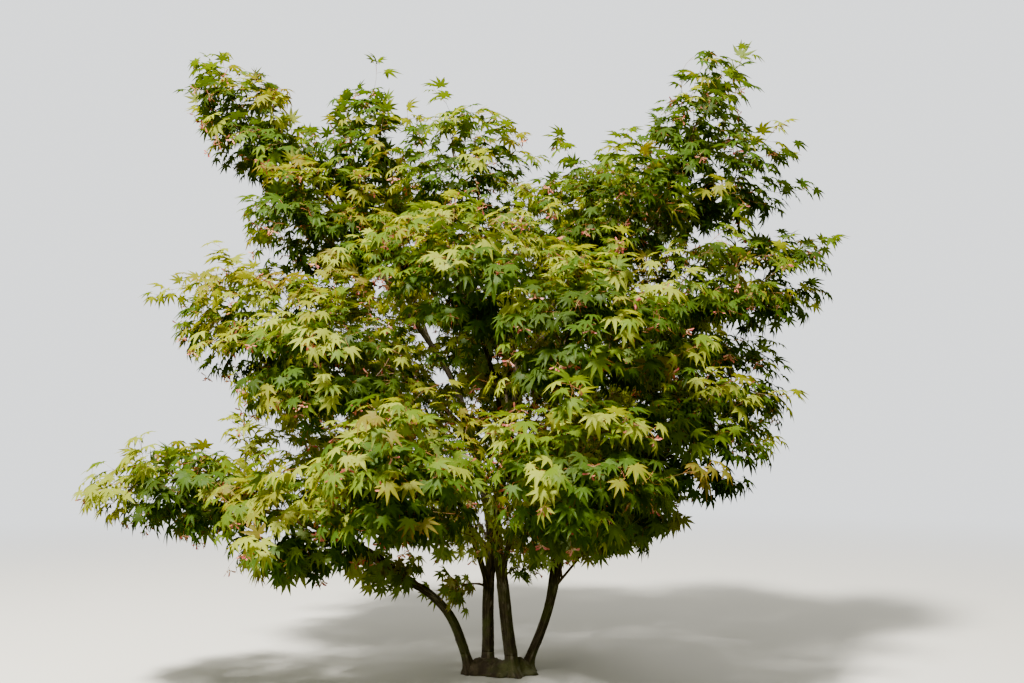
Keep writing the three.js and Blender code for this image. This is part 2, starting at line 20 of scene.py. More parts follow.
import bpy
import numpy as np
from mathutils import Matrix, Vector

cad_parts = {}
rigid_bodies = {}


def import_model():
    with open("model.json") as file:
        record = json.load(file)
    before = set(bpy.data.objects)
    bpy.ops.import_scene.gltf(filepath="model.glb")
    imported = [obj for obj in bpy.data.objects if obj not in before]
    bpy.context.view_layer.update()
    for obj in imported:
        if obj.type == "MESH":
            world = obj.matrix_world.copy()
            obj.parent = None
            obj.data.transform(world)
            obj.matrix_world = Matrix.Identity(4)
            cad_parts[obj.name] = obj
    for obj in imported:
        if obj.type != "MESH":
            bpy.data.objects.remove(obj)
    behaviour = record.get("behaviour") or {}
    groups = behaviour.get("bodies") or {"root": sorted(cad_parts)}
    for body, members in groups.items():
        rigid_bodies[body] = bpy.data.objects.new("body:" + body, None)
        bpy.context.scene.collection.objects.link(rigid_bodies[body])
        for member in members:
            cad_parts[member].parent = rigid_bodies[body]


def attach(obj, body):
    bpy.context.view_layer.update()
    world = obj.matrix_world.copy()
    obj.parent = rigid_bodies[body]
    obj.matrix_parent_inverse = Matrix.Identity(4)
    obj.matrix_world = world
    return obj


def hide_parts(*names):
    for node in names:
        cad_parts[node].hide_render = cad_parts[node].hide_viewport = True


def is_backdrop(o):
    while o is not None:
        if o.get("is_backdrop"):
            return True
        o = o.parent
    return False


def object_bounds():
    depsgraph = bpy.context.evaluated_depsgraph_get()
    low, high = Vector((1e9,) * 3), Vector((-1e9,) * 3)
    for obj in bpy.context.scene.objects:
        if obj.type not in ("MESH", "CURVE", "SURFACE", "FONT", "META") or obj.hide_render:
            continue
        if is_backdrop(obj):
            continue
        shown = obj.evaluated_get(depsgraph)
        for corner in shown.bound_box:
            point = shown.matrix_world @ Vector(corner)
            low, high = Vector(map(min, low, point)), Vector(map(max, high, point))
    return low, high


LOG = logging.getLogger("maple")
MM = 0.001
UP = np.array([0.0, 0.0, 1.0])

Array = np.ndarray
Box = tuple[Array, Array]
Pair = tuple[float, float]
Triple = tuple[float, float, float]
Material = bpy.types.Material
Random = np.random.Generator
Swell = Callable[[Array, Array], Array]
Socket = bpy.types.NodeSocket


# Small helpers for arrays


def lengths(vectors: Array) -> Array:
    """Returns the lengths of vectors along their last axis."""
    return np.linalg.norm(vectors, axis=-1)


def circle(count: int) -> Array:
    """Returns even angles all round a circle."""
    return np.linspace(0, 2 * math.pi, count, endpoint=False)


def unit(vectors: Array) -> Array:
    """Returns vectors scaled to length one along their last axis."""
    return vectors / np.maximum(np.linalg.norm(vectors, axis=-1, keepdims=True), 1e-12)


def dot(a: Array, b: Array) -> Array:
    """Returns the dot products along the last axis, which is kept with length one."""
    return (a * b).sum(-1, keepdims=True)


def square_to(vectors: Array, axis: Array) -> Array:
    """Returns the unit parts of vectors that stand square to unit axes."""
    return unit(vectors - dot(vectors, axis) * axis)


def smooth_step(low: float, high: float, value: Array) -> Array:
    """Returns 0 below low, 1 above high and 3 s squared minus 2 s cubed between them."""
    share = np.clip((value - low) / (high - low), 0.0, 1.0)
    return share * share * (3.0 - 2.0 * share)


def in_ball(count: int, random: Random) -> Array:
    """Returns seeded points spread evenly through a ball of radius one."""
    return unit(random.normal(size=(count, 3))) * random.uniform(0.01, 1, (count, 1)) ** (1 / 3)


def arch(foot: Array, bend: Array, tip: Array, share: Array) -> Array:
    """Returns foot (1-s)^2 + bend 2s(1-s) + tip s^2, a parabola's point at share s."""
    return foot * (1 - share) ** 2 + bend * 2 * share * (1 - share) + tip * share**2


def inside(points: Array, box: Box, margin: float) -> Array:
    """Tells which points lie in a box and keep a margin from its sides."""
    return ((points > box[0] + margin) & (points < box[1] - margin)).all(1)


def wheel_faces(rings: int, sides: int) -> Array:
    """Returns the quads of a tube of rings that closes round itself, facing outward."""
    ring = np.arange(rings - 1)[:, None] * sides
    here = np.arange(sides)[None, :]
    beyond = (here + 1) % sides
    quads = np.stack([ring + here, ring + beyond, ring + sides + beyond, ring + sides + here], -1)
    return quads.reshape(-1, 4)


def closed_faces(rings: int, sides: int, turned: bool = False) -> list[Array]:
    """Returns the faces of a tube that a pole closes at each end.

    Args:
        rings: its rings of points.
        sides: points in each ring. The poles are the two points after all rings.
        turned: whether the faces look the other way, as for rings that lie one in the other.

    Returns:
        The quads between the rings, and the triangles to the poles.
    """
    quads = wheel_faces(rings, sides)
    first = np.arange(sides)
    beyond = np.roll(first, -1)
    foot = np.stack([beyond, first, np.full(sides, rings * sides)], -1)
    tip = np.stack([first, beyond, np.full(sides, rings * sides + 1)], -1)
    tip[:, :2] += (rings - 1) * sides
    if turned:
        return [quads[:, ::-1], np.concatenate([foot[:, [1, 0, 2]], tip[:, [1, 0, 2]]])]
    return [quads, np.concatenate([foot, tip])]


# Meshes


def put(name: str, data: bpy.types.ID) -> bpy.types.Object:
    """Makes an object of some data and puts it in the scene."""
    made = bpy.data.objects.new(name, data)
    bpy.context.scene.collection.objects.link(made)
    return made


@dataclass
class Skin:
    """Points, faces and texture maps of one surface, before it becomes a piece."""

    points: Array  # one row of x, y, z per point
    faces: list[Array]  # arrays of point numbers, one array for each number of corners
    maps: dict[str, Array]  # named maps with two numbers per point

    @staticmethod
    def join(skins: list[Skin]) -> Skin:
        """Joins skins that have maps of the same names, whose faces count on from skin to skin."""
        faces: list[Array] = []
        first = 0
        for skin in skins:
            faces += [block + first for block in skin.faces]
            first += len(skin.points)
        maps = {name: np.concatenate([s.maps[name] for s in skins]) for name in skins[0].maps}
        return Skin(np.concatenate([s.points for s in skins]), faces, maps)

    @staticmethod
    def repeat(points: Array, faces: list[Array], name: str, mapped: Array) -> Skin:
        """Makes one skin from the same shape at many places.

        Args:
            points: points by place and by point of the shape.
            faces: the shape's own faces.
            name: the name of its only map.
            mapped: the map's numbers, by place and by point of the shape.

        Returns:
            The skin.
        """
        count, size = points.shape[:2]
        first = (np.arange(count) * size)[:, None, None]
        blocks = [(block[None] + first).reshape(-1, block.shape[1]) for block in faces]
        return Skin(points.reshape(-1, 3), blocks, {name: mapped.reshape(-1, 2)})

    def piece(self, name: str, material: Material, nodes: list[str], slot: str) -> None:
        """Makes the skin a piece that rides on the tree and stands for CAD nodes.

        Args:
            name: the piece's name.
            material: its finish.
            nodes: the CAD nodes that it replaces.
            slot: not used.
        """
        mesh = bpy.data.meshes.new(name)
        corners = np.concatenate([block.ravel() for block in self.faces]).astype(np.int32)
        totals = np.concatenate([np.full(len(b), b.shape[1]) for b in self.faces]).astype(np.int32)
        starts = (np.cumsum(totals) - totals).astype(np.int32)
        mesh.vertices.add(len(self.points))
        mesh.vertices.foreach_set("co", self.points.astype(np.float32).ravel())
        mesh.loops.add(len(corners))
        mesh.loops.foreach_set("vertex_index", corners)
        mesh.polygons.add(len(totals))
        mesh.polygons.foreach_set("loop_start", starts)
        mesh.update(calc_edges=True)
        mesh.polygons.foreach_set("use_smooth", np.ones(len(totals), dtype=bool))
        for map_name, values in self.maps.items():
            layer = mesh.uv_layers.new(name=map_name)
            layer.uv.foreach_set("vector", values[corners].astype(np.float32).ravel())
        mesh.materials.append(material)
        mesh.update()
        made = put(name, mesh)
        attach(made, "root")
        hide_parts(*nodes)
        LOG.info("%s: %d points, %d triangles", name, len(self.points), int((totals - 2).sum()))


# Curves and limbs


class Curve:
    """A curve in space, with a share from 0 at its foot to 1 at its tip."""

    def point(self, share: Array) -> Array:
        """Returns the points at some shares."""
        raise NotImplementedError

    def tangent(self, share: Array) -> Array:
        """Returns the unit directions at some shares, from points just before and after."""
        step = 1e-4
        before = np.clip(np.asarray(share) - step, 0, 1)
        after = np.clip(np.asarray(share) + step, 0, 1)
        return unit(self.point(after) - self.point(before))

    def length(self) -> float:
        """Returns the length, added up over short stretches."""
        along = self.point(np.linspace(0, 1, 60))
        return float(lengths(np.diff(along, axis=0)).sum())

    def share_at_height(self, height: float) -> float:
        """Returns the share at which a rising curve reaches a height, by halving."""
        low, high = 0.0, 1.0
        for _ in range(40):
            middle = (low + high) / 2
            low, high = (middle, high) if self.point(np.array(middle))[2] < height else (low, middle)
        return low


@dataclass(frozen=True)
class Spline(Curve):
    """A centripetal Catmull-Rom spline through points.

    Each stretch is the cubic that has at its ends the slopes of a curve whose knots lie apart by
    the square root of the distance between the points.
    """

    through: Array

    def point(self, share: Array) -> Array:
        """Returns the points at some shares."""
        p = self.through
        place = np.clip(np.asarray(share, dtype=float), 0, 1) * (len(p) - 1)
        index = np.minimum(place.astype(int), len(p) - 2)
        w = (place - index)[..., None]
        ends = np.vstack([2 * p[0] - p[1], p, 2 * p[-1] - p[-2]])
        a, b, c, d = (ends[index + k] for k in range(4))
        before, here, after = (dot(v, v) ** 0.25 for v in (b - a, c - b, d - c))
        leave = ((b - a) / before - (c - a) / (before + here) + (c - b) / here) * here
        arrive = ((c - b) / here - (d - b) / (here + after) + (d - c) / after) * here
        square = 3 * (c - b) - 2 * leave - arrive
        cube = 2 * (b - c) + leave + arrive
        return b + leave * w + square * w**2 + cube * w**3


@dataclass(frozen=True)
class Arch(Curve):
    """A parabola from a foot to a tip, drawn towards a bend."""

    foot: Array
    bend: Array
    tip: Array

    def point(self, share: Array) -> Array:
        """Returns the points at some shares."""
        return arch(self.foot, self.bend, self.tip, np.asarray(share, dtype=float)[..., None])


# How a limb's radius falls along it, and the gap that the solids keep beyond a limb's tip.
TAPER_POWER = 0.85
GAP = 0.3 * MM


@dataclass
class Limb:
    """A stem, a long bough or a bough."""

    name: str  # the CAD node's name
    curve: Curve  # its middle line
    radii: Pair  # the radius at its foot and at its tip
    at_tip: bool = True  # whether it goes on from another limb's tip and not from its side
    parent_radius: float = 0.0  # the radius of the limb it leaves, where it leaves it
    parent_way: Array | None = None  # that limb's direction there

    def radius(self, share: Array) -> Array:
        """Returns the radius at some shares, which falls with a power of the share."""
        return self.radii[0] + (self.radii[1] - self.radii[0]) * np.asarray(share) ** TAPER_POWER

    def start(self, share: float) -> tuple[Array, Array]:
        """Returns where a limb starts on this one, at share 1 a gap beyond the tip, and the way there."""
        along = self.curve.tangent(np.array(share))
        beyond = GAP * along if share == 1 else 0
        return self.curve.point(np.array(share)) + beyond, along


@dataclass(frozen=True)
class StemPlan:
    """The points in millimetres that a stem passes through and the radius at each end."""

    name: str
    through: tuple[Triple, ...]
    radii: Pair


@dataclass(frozen=True)
class LeaderPlan:
    """A long bough that goes on from a stem's tip, in millimetres."""

    name: str
    stem: str
    through: tuple[Triple, ...]


@dataclass(frozen=True)
class Mass:
    """A mass of leaves, in millimetres."""

    name: str  # its name, which its bough and its leaves carry
    on: str  # the limb it grows from
    share: float  # where on that limb its bough starts
    middle: Triple  # the middle of its ellipsoid
    half: Triple  # the half sizes across, deep and high
    lean: float = 0.0  # how far it leans to the right, as a share of the rise over its middle
    has_bough: bool = True  # whether a bough carries it, and not the limb itself


@dataclass(frozen=True)
class LowSpray:
    """A spray between the stems: its stem, where it starts there, and its space in millimetres."""

    on: str
    share: float
    middle: Triple
    half: Triple


STEMS = (
    StemPlan(
        "stem_left",
        ((-134, 0, -60), (-140, 0, 0), (-236, -18, 270), (-350, -55, 400), (-480, -105, 475)),
        (25, 17),
    ),
    StemPlan(
        "stem_middle_left",
        ((-57, 42, -60), (-56, 44, 0), (-55, 46, 380), (-38, 52, 640), (-100, 62, 1010)),
        (32, 20),
    ),
    StemPlan(
        "stem_middle_right",
        ((78, -42, -60), (70, -42, 0), (26, -42, 380), (-14, -22, 780), (48, -38, 1130)),
        (34, 21),
    ),
    StemPlan(
        "stem_right",
        ((124, 22, -60), (130, 22, 0), (232, 35, 260), (328, 60, 640), (396, 80, 1110)),
        (27, 16),
    ),
)
LEADERS = (
    LeaderPlan("leader_left", "stem_middle_left", ((-235, 62, 1440), (-500, 60, 1850), (-760, 48, 2230))),
    LeaderPlan("leader_right", "stem_middle_right", ((130, -55, 1520), (340, -82, 1790), (790, -98, 2230))),
)
MASSES = (
    Mass("low_left_outer", "stem_left", 1, (-1440, -470, 950), (510, 440, 290)),
    Mass("low_left_inner", "stem_left", 0.9, (-870, -720, 820), (440, 440, 320)),
    Mass("front_left", "stem_middle_left", 0.52, (-380, -1180, 1030), (420, 420, 340)),
    Mass("left_outer", "leader_left", 0.12, (-1225, -60, 1740), (440, 500, 350)),
    Mass("left_inner", "leader_left", 0.16, (-800, -700, 1500), (450, 440, 370)),
    Mass("upper_left", "leader_left", 0.72, (-940, -140, 2250), (390, 450, 350)),
    Mass("top_left", "leader_left", 1, (-1300, 90, 2800), (370, 400, 430), lean=-0.5),
    Mass("top_left_inner", "leader_left", 0.9, (-770, 60, 2650), (270, 360, 380), lean=0.3),
    Mass("back_top_left", "leader_left", 0.5, (-660, 680, 2300), (470, 450, 390)),
    Mass("back_left", "leader_left", 0.05, (-1000, 820, 1600), (490, 470, 390)),
    Mass("back_low_left", "stem_middle_left", 0.68, (-860, 760, 960), (480, 450, 330)),
    Mass("centre_top", "leader_right", 0.24, (-200, -90, 2490), (410, 450, 390)),
    Mass("centre_front", "stem_middle_right", 0.95, (-180, -800, 1900), (460, 440, 370)),
    Mass("front_low", "stem_middle_right", 0.56, (330, -1290, 1060), (430, 420, 330)),
    Mass("front_right", "stem_middle_right", 0.78, (380, -1020, 1620), (440, 420, 370)),
    Mass("right_shoulder", "leader_right", 0.62, (570, -330, 2290), (410, 440, 350)),
    Mass("peak", "leader_right", 1, (990, -60, 2720), (290, 360, 480), lean=0.25),
    Mass("right_outer", "leader_right", 0.86, (1190, 20, 2460), (370, 440, 300)),
    Mass("back_top_right", "leader_right", 0.45, (500, 620, 2370), (470, 450, 390)),
    Mass("back_centre", "stem_middle_right", 0.97, (-20, 980, 1700), (470, 450, 390)),
    Mass("far_right", "stem_right", 1, (1350, 100, 1960), (430, 460, 320)),
    Mass("right_middle", "stem_right", 0.94, (880, -440, 1830), (440, 440, 360)),
    Mass("low_right", "stem_right", 0.7, (840, -600, 1190), (460, 440, 350)),
    Mass("low_right_outer", "stem_right", 0.86, (1150, 160, 1400), (430, 480, 370)),
    Mass("right_skirt", "stem_right", 0.6, (600, -20, 800), (380, 380, 270), has_bough=False),
    Mass("back_right", "stem_right", 0.97, (930, 830, 1660), (490, 460, 380)),
    Mass("back_low_right", "stem_right", 0.52, (380, 1000, 1000), (490, 450, 350)),
)
MIDDLES = np.array([mass.middle for mass in MASSES]) * MM
HALVES = np.array([mass.half for mass in MASSES]) * MM
LEANS = np.array([(mass.lean, 0.0, 0.0) for mass in MASSES])

# The middle and the half sizes of the whole crown.
CROWN_MIDDLE = np.array([0.0, 0.0, 1.5])
CROWN_HALF = np.array([1.75, 1.45, 1.6])

# Inside these ellipsoids, the hearts of the crown, a mass reaches out of its own space until it meets
# the next one: the middle and the half sizes of each, in millimetres, and then how far out it may reach.
HEARTS = np.array(
    [
        [(-50, 60, 1580), (1230, 1080, 900)],
        [(-760, 60, 2430), (500, 430, 420)],
        [(60, -560, 980), (940, 620, 420)],
        [(820, 60, 2380), (420, 420, 330)],
        [(-1090, -330, 1290), (270, 290, 180)],
        [(-20, 60, 800), (380, 460, 240)],
    ]
) * MM
HEART_REACH = 2.2

# Openings right through the crown: the front and the back end of each one's line and its radius, in
# millimetres.
OPENINGS = (
    ((-440, -1400, 1720), (-810, 1400, 2110), 52),
    ((-260, -1400, 1540), (-500, 1400, 1790), 42),
    ((-180, -1400, 1380), (-350, 1400, 1520), 50),
    ((10, -1400, 1450), (-30, 1400, 1640), 46),
    ((-620, -1400, 2050), (-1130, 1400, 2680), 45),
    ((10, -1400, 2060), (-30, 1400, 2690), 35),
    ((760, -1400, 1900), (1270, 1400, 2420), 52),
)

LOW_SPRAYS = (
    LowSpray("stem_left", 0.78, (-540, -250, 550), (170, 160, 80)),
    LowSpray("stem_middle_left", 0.53, (-235, -50, 410), (110, 120, 70)),
    LowSpray("stem_middle_right", 0.55, (125, -80, 520), (90, 110, 60)),
    LowSpray("stem_middle_left", 0.72, (-170, 170, 800), (240, 200, 140)),
)


def in_opening(points: Array) -> Array:
    """Tells which points lie in an opening, which is nearer to its line than its uneven radius."""
    found = np.zeros(len(points), dtype=bool)
    x, y, z = points.T
    uneven = 1 + 0.4 * np.sin(31 * x + 17 * z) * np.sin(43 * z - 13 * y)
    for front, back, radius in OPENINGS:
        foot = np.array(front) * MM
        way = unit(np.array(back) * MM - foot)
        apart = points - foot
        found |= lengths(apart - dot(apart, way) * way) < radius * MM * uneven
    return found


def from_middle(points: Array, mass: Array | int) -> Array:
    """Returns how far points lie from the middle of masses, with the masses' lean taken off."""
    apart = points - MIDDLES[mass]
    return apart - LEANS[mass] * apart[..., 2:]


def depths(points: Array) -> Array:
    """Returns how deep points lie in masses, 0 at the middle and 1 at the surface, by point and mass."""
    return lengths(from_middle(points[:, None, :], np.arange(len(MASSES))) / HALVES)


def own_depths(points: Array, mass: Array) -> Array:
    """Returns how deep each point lies in its own mass."""
    return depths(points)[np.arange(len(mass)), mass]


def outside(points: Array) -> Array:
    """Returns how far out in the crown points lie: 0 at its middle, about 1 at its surface."""
    return lengths((points - CROWN_MIDDLE) / CROWN_HALF)


def outward(mass: Array, points: Array) -> Array:
    """Returns the way out of the crown at points of masses: out of the mass and out of the tree."""
    local = unit(from_middle(points, mass) / HALVES[mass])
    return unit(0.62 * local + 0.38 * unit(points - CROWN_MIDDLE))


def in_space(own: Array, points: Array, inset: Array) -> Array:
    """Tells which points of a mass's cell lie in the mass, or in a heart and not too far out of it.

    Args:
        own: how deep each point lies in its mass, with the inset taken off the mass.
        points: rows of x, y, z.
        inset: how far inside the surface the points have to lie.

    Returns:
        A mask of the points.
    """
    hearts = lengths((points[:, None] - HEARTS[:, 0]) / (HEARTS[:, 1] - inset))
    x, y, z = points.T
    uneven = 0.1 * np.sin(9.0 * x + 5.0 * z) * np.sin(8.0 * y - 6.0 * z)
    return (own <= 1 + uneven) | ((hearts.min(1) <= 1) & (own <= HEART_REACH))


@dataclass(frozen=True)
class LimbRules:
    """The rules by which boughs and mass stems grow, as in the solids."""

    leader_tip: float = 11 * MM  # a long bough's radius at its tip
    side_share: float = 0.66  # a bough's radius where it leaves a limb's side, as a share of the limb's
    bough_tip: float = 8 * MM  # its radius at its tip
    lift: float = 0.16  # how far it arches upward, as a share of its length
    # How far it keeps its limb's direction, at a limb's tip and from a limb's side.
    forward: Pair = (0.1, 0.12)
    entry: float = 0.66  # how deep in its mass a bough ends
    stem_end: float = 0.12  # how deep on the far side the stem of a mass ends


class Framework:
    """All limbs of the tree and the stem of each mass."""

    def __init__(self, rules: LimbRules) -> None:
        """Grows stems, long boughs, boughs and mass stems, each from the one before."""
        self.rules = rules
        self.limbs: dict[str, Limb] = {}
        self.mass_stems: list[Arch] = []
        for plan in STEMS:
            radii = (plan.radii[0] * MM, plan.radii[1] * MM)
            self.limbs[plan.name] = Limb(plan.name, Spline(np.array(plan.through) * MM), radii)
        for plan in LEADERS:
            stem = self.limbs[plan.stem]
            through = np.vstack([stem.start(1)[0], np.array(plan.through) * MM])
            radii = (stem.radii[1], rules.leader_tip)
            self.limbs[plan.name] = Limb(plan.name, Spline(through), radii)
        for index, mass in enumerate(MASSES):
            bough = self._bough(index, mass) if mass.has_bough else None
            if bough:
                self.limbs[bough.name] = bough
            self.mass_stems.append(self._mass_stem(index, mass, bough))

    def _bough(self, index: int, mass: Mass) -> Limb:
        """Returns a mass's bough, which arches from its limb to where it enters the mass."""
        rules = self.rules
        parent = self.limbs[mass.on]
        at_tip = mass.share == 1
        point, along = parent.start(mass.share)
        depth = depths(point[None])[0, index]
        tip = MIDDLES[index] + (point - MIDDLES[index]) * rules.entry / depth
        length = np.linalg.norm(tip - point)
        forward = rules.forward[0] if at_tip else rules.forward[1]
        bend = point + (tip - point) * 0.45 + along * forward * length + UP * rules.lift * length
        parent_radius = float(parent.radius(np.array(mass.share)))
        foot = parent_radius * (1 if at_tip else rules.side_share)
        name = f"bough_{mass.name}"
        return Limb(name, Arch(point, bend, tip), (foot, rules.bough_tip), at_tip, parent_radius, along)

    def _mass_stem(self, index: int, mass: Mass, bough: Limb | None) -> Arch:
        """Returns the stem of a mass, from its bough's tip or its limb past the mass's middle."""
        point, along = bough.start(1) if bough else self.limbs[mass.on].start(mass.share)
        depth = depths(point[None])[0, index]
        far = MIDDLES[index] - (point - MIDDLES[index]) * self.rules.stem_end / depth
        reach = np.linalg.norm(far - point)
        bend = point + along * 0.4 * reach if bough else (point + far) / 2
        return Arch(point, bend, far)

    def axis_points(self) -> tuple[Array, Array]:
        """Returns points close together along all limbs, and the radius at each."""
        share = np.linspace(0, 1, 24)
        points = np.concatenate([limb.curve.point(share) for limb in self.limbs.values()])
        radii = np.concatenate([limb.radius(share) for limb in self.limbs.values()])
        return points, radii


# Bark in relief


@dataclass(frozen=True)
class BarkRelief:
    """The unevenness of bark, as heights over a smooth limb."""

    wave: float = 0.045  # slow swellings, as a share of the radius
    furrow: float = 1.3 * MM  # depth of the long furrows
    furrows: int = 8  # how many furrows run side by side round a limb
    grain: float = 0.35 * MM  # height of the fine ridges
    layer: float = 0.24  # how thick the bark of a stem is at its foot, as a share of the radius
    knots_per_metre: float = 7.0  # old twig scars along a limb
    knot: float = 3.2 * MM  # their height

    def height(self, angle: Array, arc: Array, radius: Array, seed: int) -> Array:
        """Returns the bark's height over the smooth limb, in the shape of the inputs.

        It is the sum of slow waves (sines of a few turns round the limb and a slow run along it),
        furrows (a high power of a cosine whose phase wanders along the limb), fine grain and
        knots (a swelling with a dimple in its middle).

        Args:
            angle: the angle round the limb, in radians.
            arc: the distance along it.
            radius: the limb's radius there.
            seed: the limb's own seed.
        """
        random = np.random.default_rng(seed)
        phase = random.uniform(0, 2 * math.pi, 12)
        run = random.uniform(0.7, 1.3, 12)
        waves = sum(
            np.sin(turns * angle + pace * run[k] * arc + phase[k]) / (k + 1)
            for k, (turns, pace) in enumerate([(1, 9.0), (2, 14.0), (3, 21.0), (1, 33.0)])
        )
        wander = 1.3 * np.sin(17 * run[4] * arc + phase[4]) + 0.8 * np.sin(41 * run[5] * arc + phase[5])
        furrow = (0.5 + 0.5 * np.cos(self.furrows * angle + wander + np.sin(angle + 60 * arc))) ** 5
        broken = 0.55 + 0.45 * np.sin(3 * angle + 29 * run[6] * arc + phase[6])
        grain = np.sin(23 * angle + 110 * arc + 2 * wander) * np.sin(15 * angle - 170 * arc + phase[7])
        scale = np.minimum(radius / (20 * MM), 1.2)
        height = radius * self.wave * waves
        height = height - self.furrow * scale * furrow * broken + self.grain * scale * grain
        length = float(arc.max() - arc.min())
        for _ in range(int(round(length * self.knots_per_metre))):
            around, along = random.uniform(0, 2 * math.pi), random.uniform(arc.min(), arc.max())
            size = random.uniform(0.3, 0.55) * float(radius.mean())
            turn = np.angle(np.exp(1j * (angle - around)))
            apart = ((turn * radius) ** 2 + (0.8 * (arc - along)) ** 2) / size**2
            height = height + self.knot * scale * (np.exp(-apart) - 0.75 * np.exp(-5 * apart))
        return height


@dataclass
class BarkedTube:
    """The skin of a limb: rings round its middle line, at the limb's radius plus the relief."""

    limb: Limb  # the limb
    sides: int  # points in each ring
    pitch: float  # distance between the rings
    relief: BarkRelief  # the bark's unevenness
    seed: int  # the limb's own seed
    calm: float = 0.04  # over what distance the relief fades at an end that runs on

    def grid(self, low: float, level_foot: bool, swell: Swell) -> tuple[Array, Array, Array]:
        """Works out the rings of points, up to the limb's tip.

        A point is the middle line's point plus the radius times (across cos a + over sin a), where
        across is carried along the line without turning about it.

        Args:
            low: the share at which the skin starts.
            level_foot: whether the first ring lies level, as on the ground.
            swell: gives the extra radius as a share of the radius, at shares and angles.

        Returns:
            Points by ring and side, the distance along the limb by ring, the angles by side.
        """
        rings = max(4, int(self.limb.curve.length() * (1 - low) / self.pitch))
        share = np.linspace(low, 1, rings)
        centre = self.limb.curve.point(share)
        along = self.limb.curve.tangent(share)
        if level_foot:
            fade = smooth_step(0.0, 0.5, np.linspace(0, 1, rings))[:, None]
            along = unit(UP * (1 - fade) + along * fade)
        across = np.empty_like(along)
        across[0] = square_to(np.cross([0.0, 1.0, 0.0], along[0])[None], along[:1])[0]
        for k in range(1, rings):
            across[k] = square_to(across[k - 1 : k], along[k : k + 1])[0]
        over = np.cross(along, across)
        angle = circle(self.sides)
        arc = np.concatenate([[0], np.cumsum(lengths(np.diff(centre, axis=0)))])
        smooth = np.broadcast_to(self.limb.radius(share)[:, None], (rings, self.sides))
        turn, run = np.broadcast_to(angle, smooth.shape), np.broadcast_to(arc[:, None], smooth.shape)
        radius = smooth * (1 + swell(share[:, None], turn))
        relief = self.relief.height(turn, run, smooth, self.seed)
        radius = radius + relief * self._calm(arc)[:, None]
        wheel = across[:, None] * np.cos(turn)[..., None] + over[:, None] * np.sin(turn)[..., None]
        return centre[:, None] + radius[..., None] * wheel, arc, angle

    def _calm(self, arc: Array) -> Array:
        """Returns a factor that takes the relief out where a limb runs on from another's tip."""
        run_on = self.limb.at_tip and self.limb.parent_radius
        foot = smooth_step(0.0, self.calm, arc) if run_on else 1.0
        return foot * smooth_step(0.0, self.calm, arc[-1] - arc)

    def collar(self, share: Array, turn: Array) -> Array:
        """Returns the swelling where a bough comes out of a limb's side.

        It is 0.42 e^(-((d - 0.8) / 0.8)^2), with d the distance from the limb's middle line in radii.
        """
        if self.limb.at_tip:
            return 0 * turn
        centre = self.limb.curve.point(share[:, 0])
        start, way = self.limb.curve.point(np.array(0.0)), self.limb.parent_way
        apart = lengths(np.cross(centre - start, way))[:, None] / self.limb.parent_radius
        return 0.42 * np.exp(-(((apart - 0.8) / 0.8) ** 2)) + 0 * turn

    @staticmethod
    def skin(points: Array, arc: Array, angle: Array) -> Skin:
        """Closes rings of points with a pole at each end.

        Args:
            points: points by ring and side.
            arc: the distance along the limb by ring.
            angle: the angle by side.

        Returns:
            A skin with two maps: "round" holds the cosine and sine of the angle, "along" the
            distance along the limb and its radius.
        """
        rings, sides = points.shape[:2]
        poles = points[[0, -1]].mean(1)
        radius = lengths(points - points.mean(1, keepdims=True)).mean(1)
        ring = np.stack([np.cos(angle), np.sin(angle)], -1)
        around = np.concatenate([np.tile(ring, (rings, 1)), np.zeros((2, 2))])
        run = np.repeat(np.stack([arc, radius], -1), sides, axis=0)
        run = np.concatenate([run, [[arc[0], radius[0]], [arc[-1], radius[-1]]]])
        points = np.concatenate([points.reshape(-1, 3), poles])
        return Skin(points, closed_faces(rings, sides), {"round": around, "along": run})


@dataclass(frozen=True)
class RootSizes:
    """The root crown: feet that swell towards the ground, and the old wood between them."""

    foot_top: float = 95 * MM  # the height at which a stem stands on its foot
    flare: float = 1.15  # a foot's extra radius at the ground, as a share of the stem's
    lobes: float = 0.3  # how strongly a foot swells into three roots
    across: float = 0.184  # the old wood's half size from side to side
    deep: float = 0.098  # its half size from front to back
    high: float = 0.044  # its height
    turn: float = -0.12  # its turn about the upright axis
    fillet: float = 0.03  # how far out round a foot the wood rises
    rise: float = 0.026  # how high it rises there
    ripple: float = 2.2 * MM  # the height of its unevenness
    groove: float = 9 * MM  # the depth of its grooves


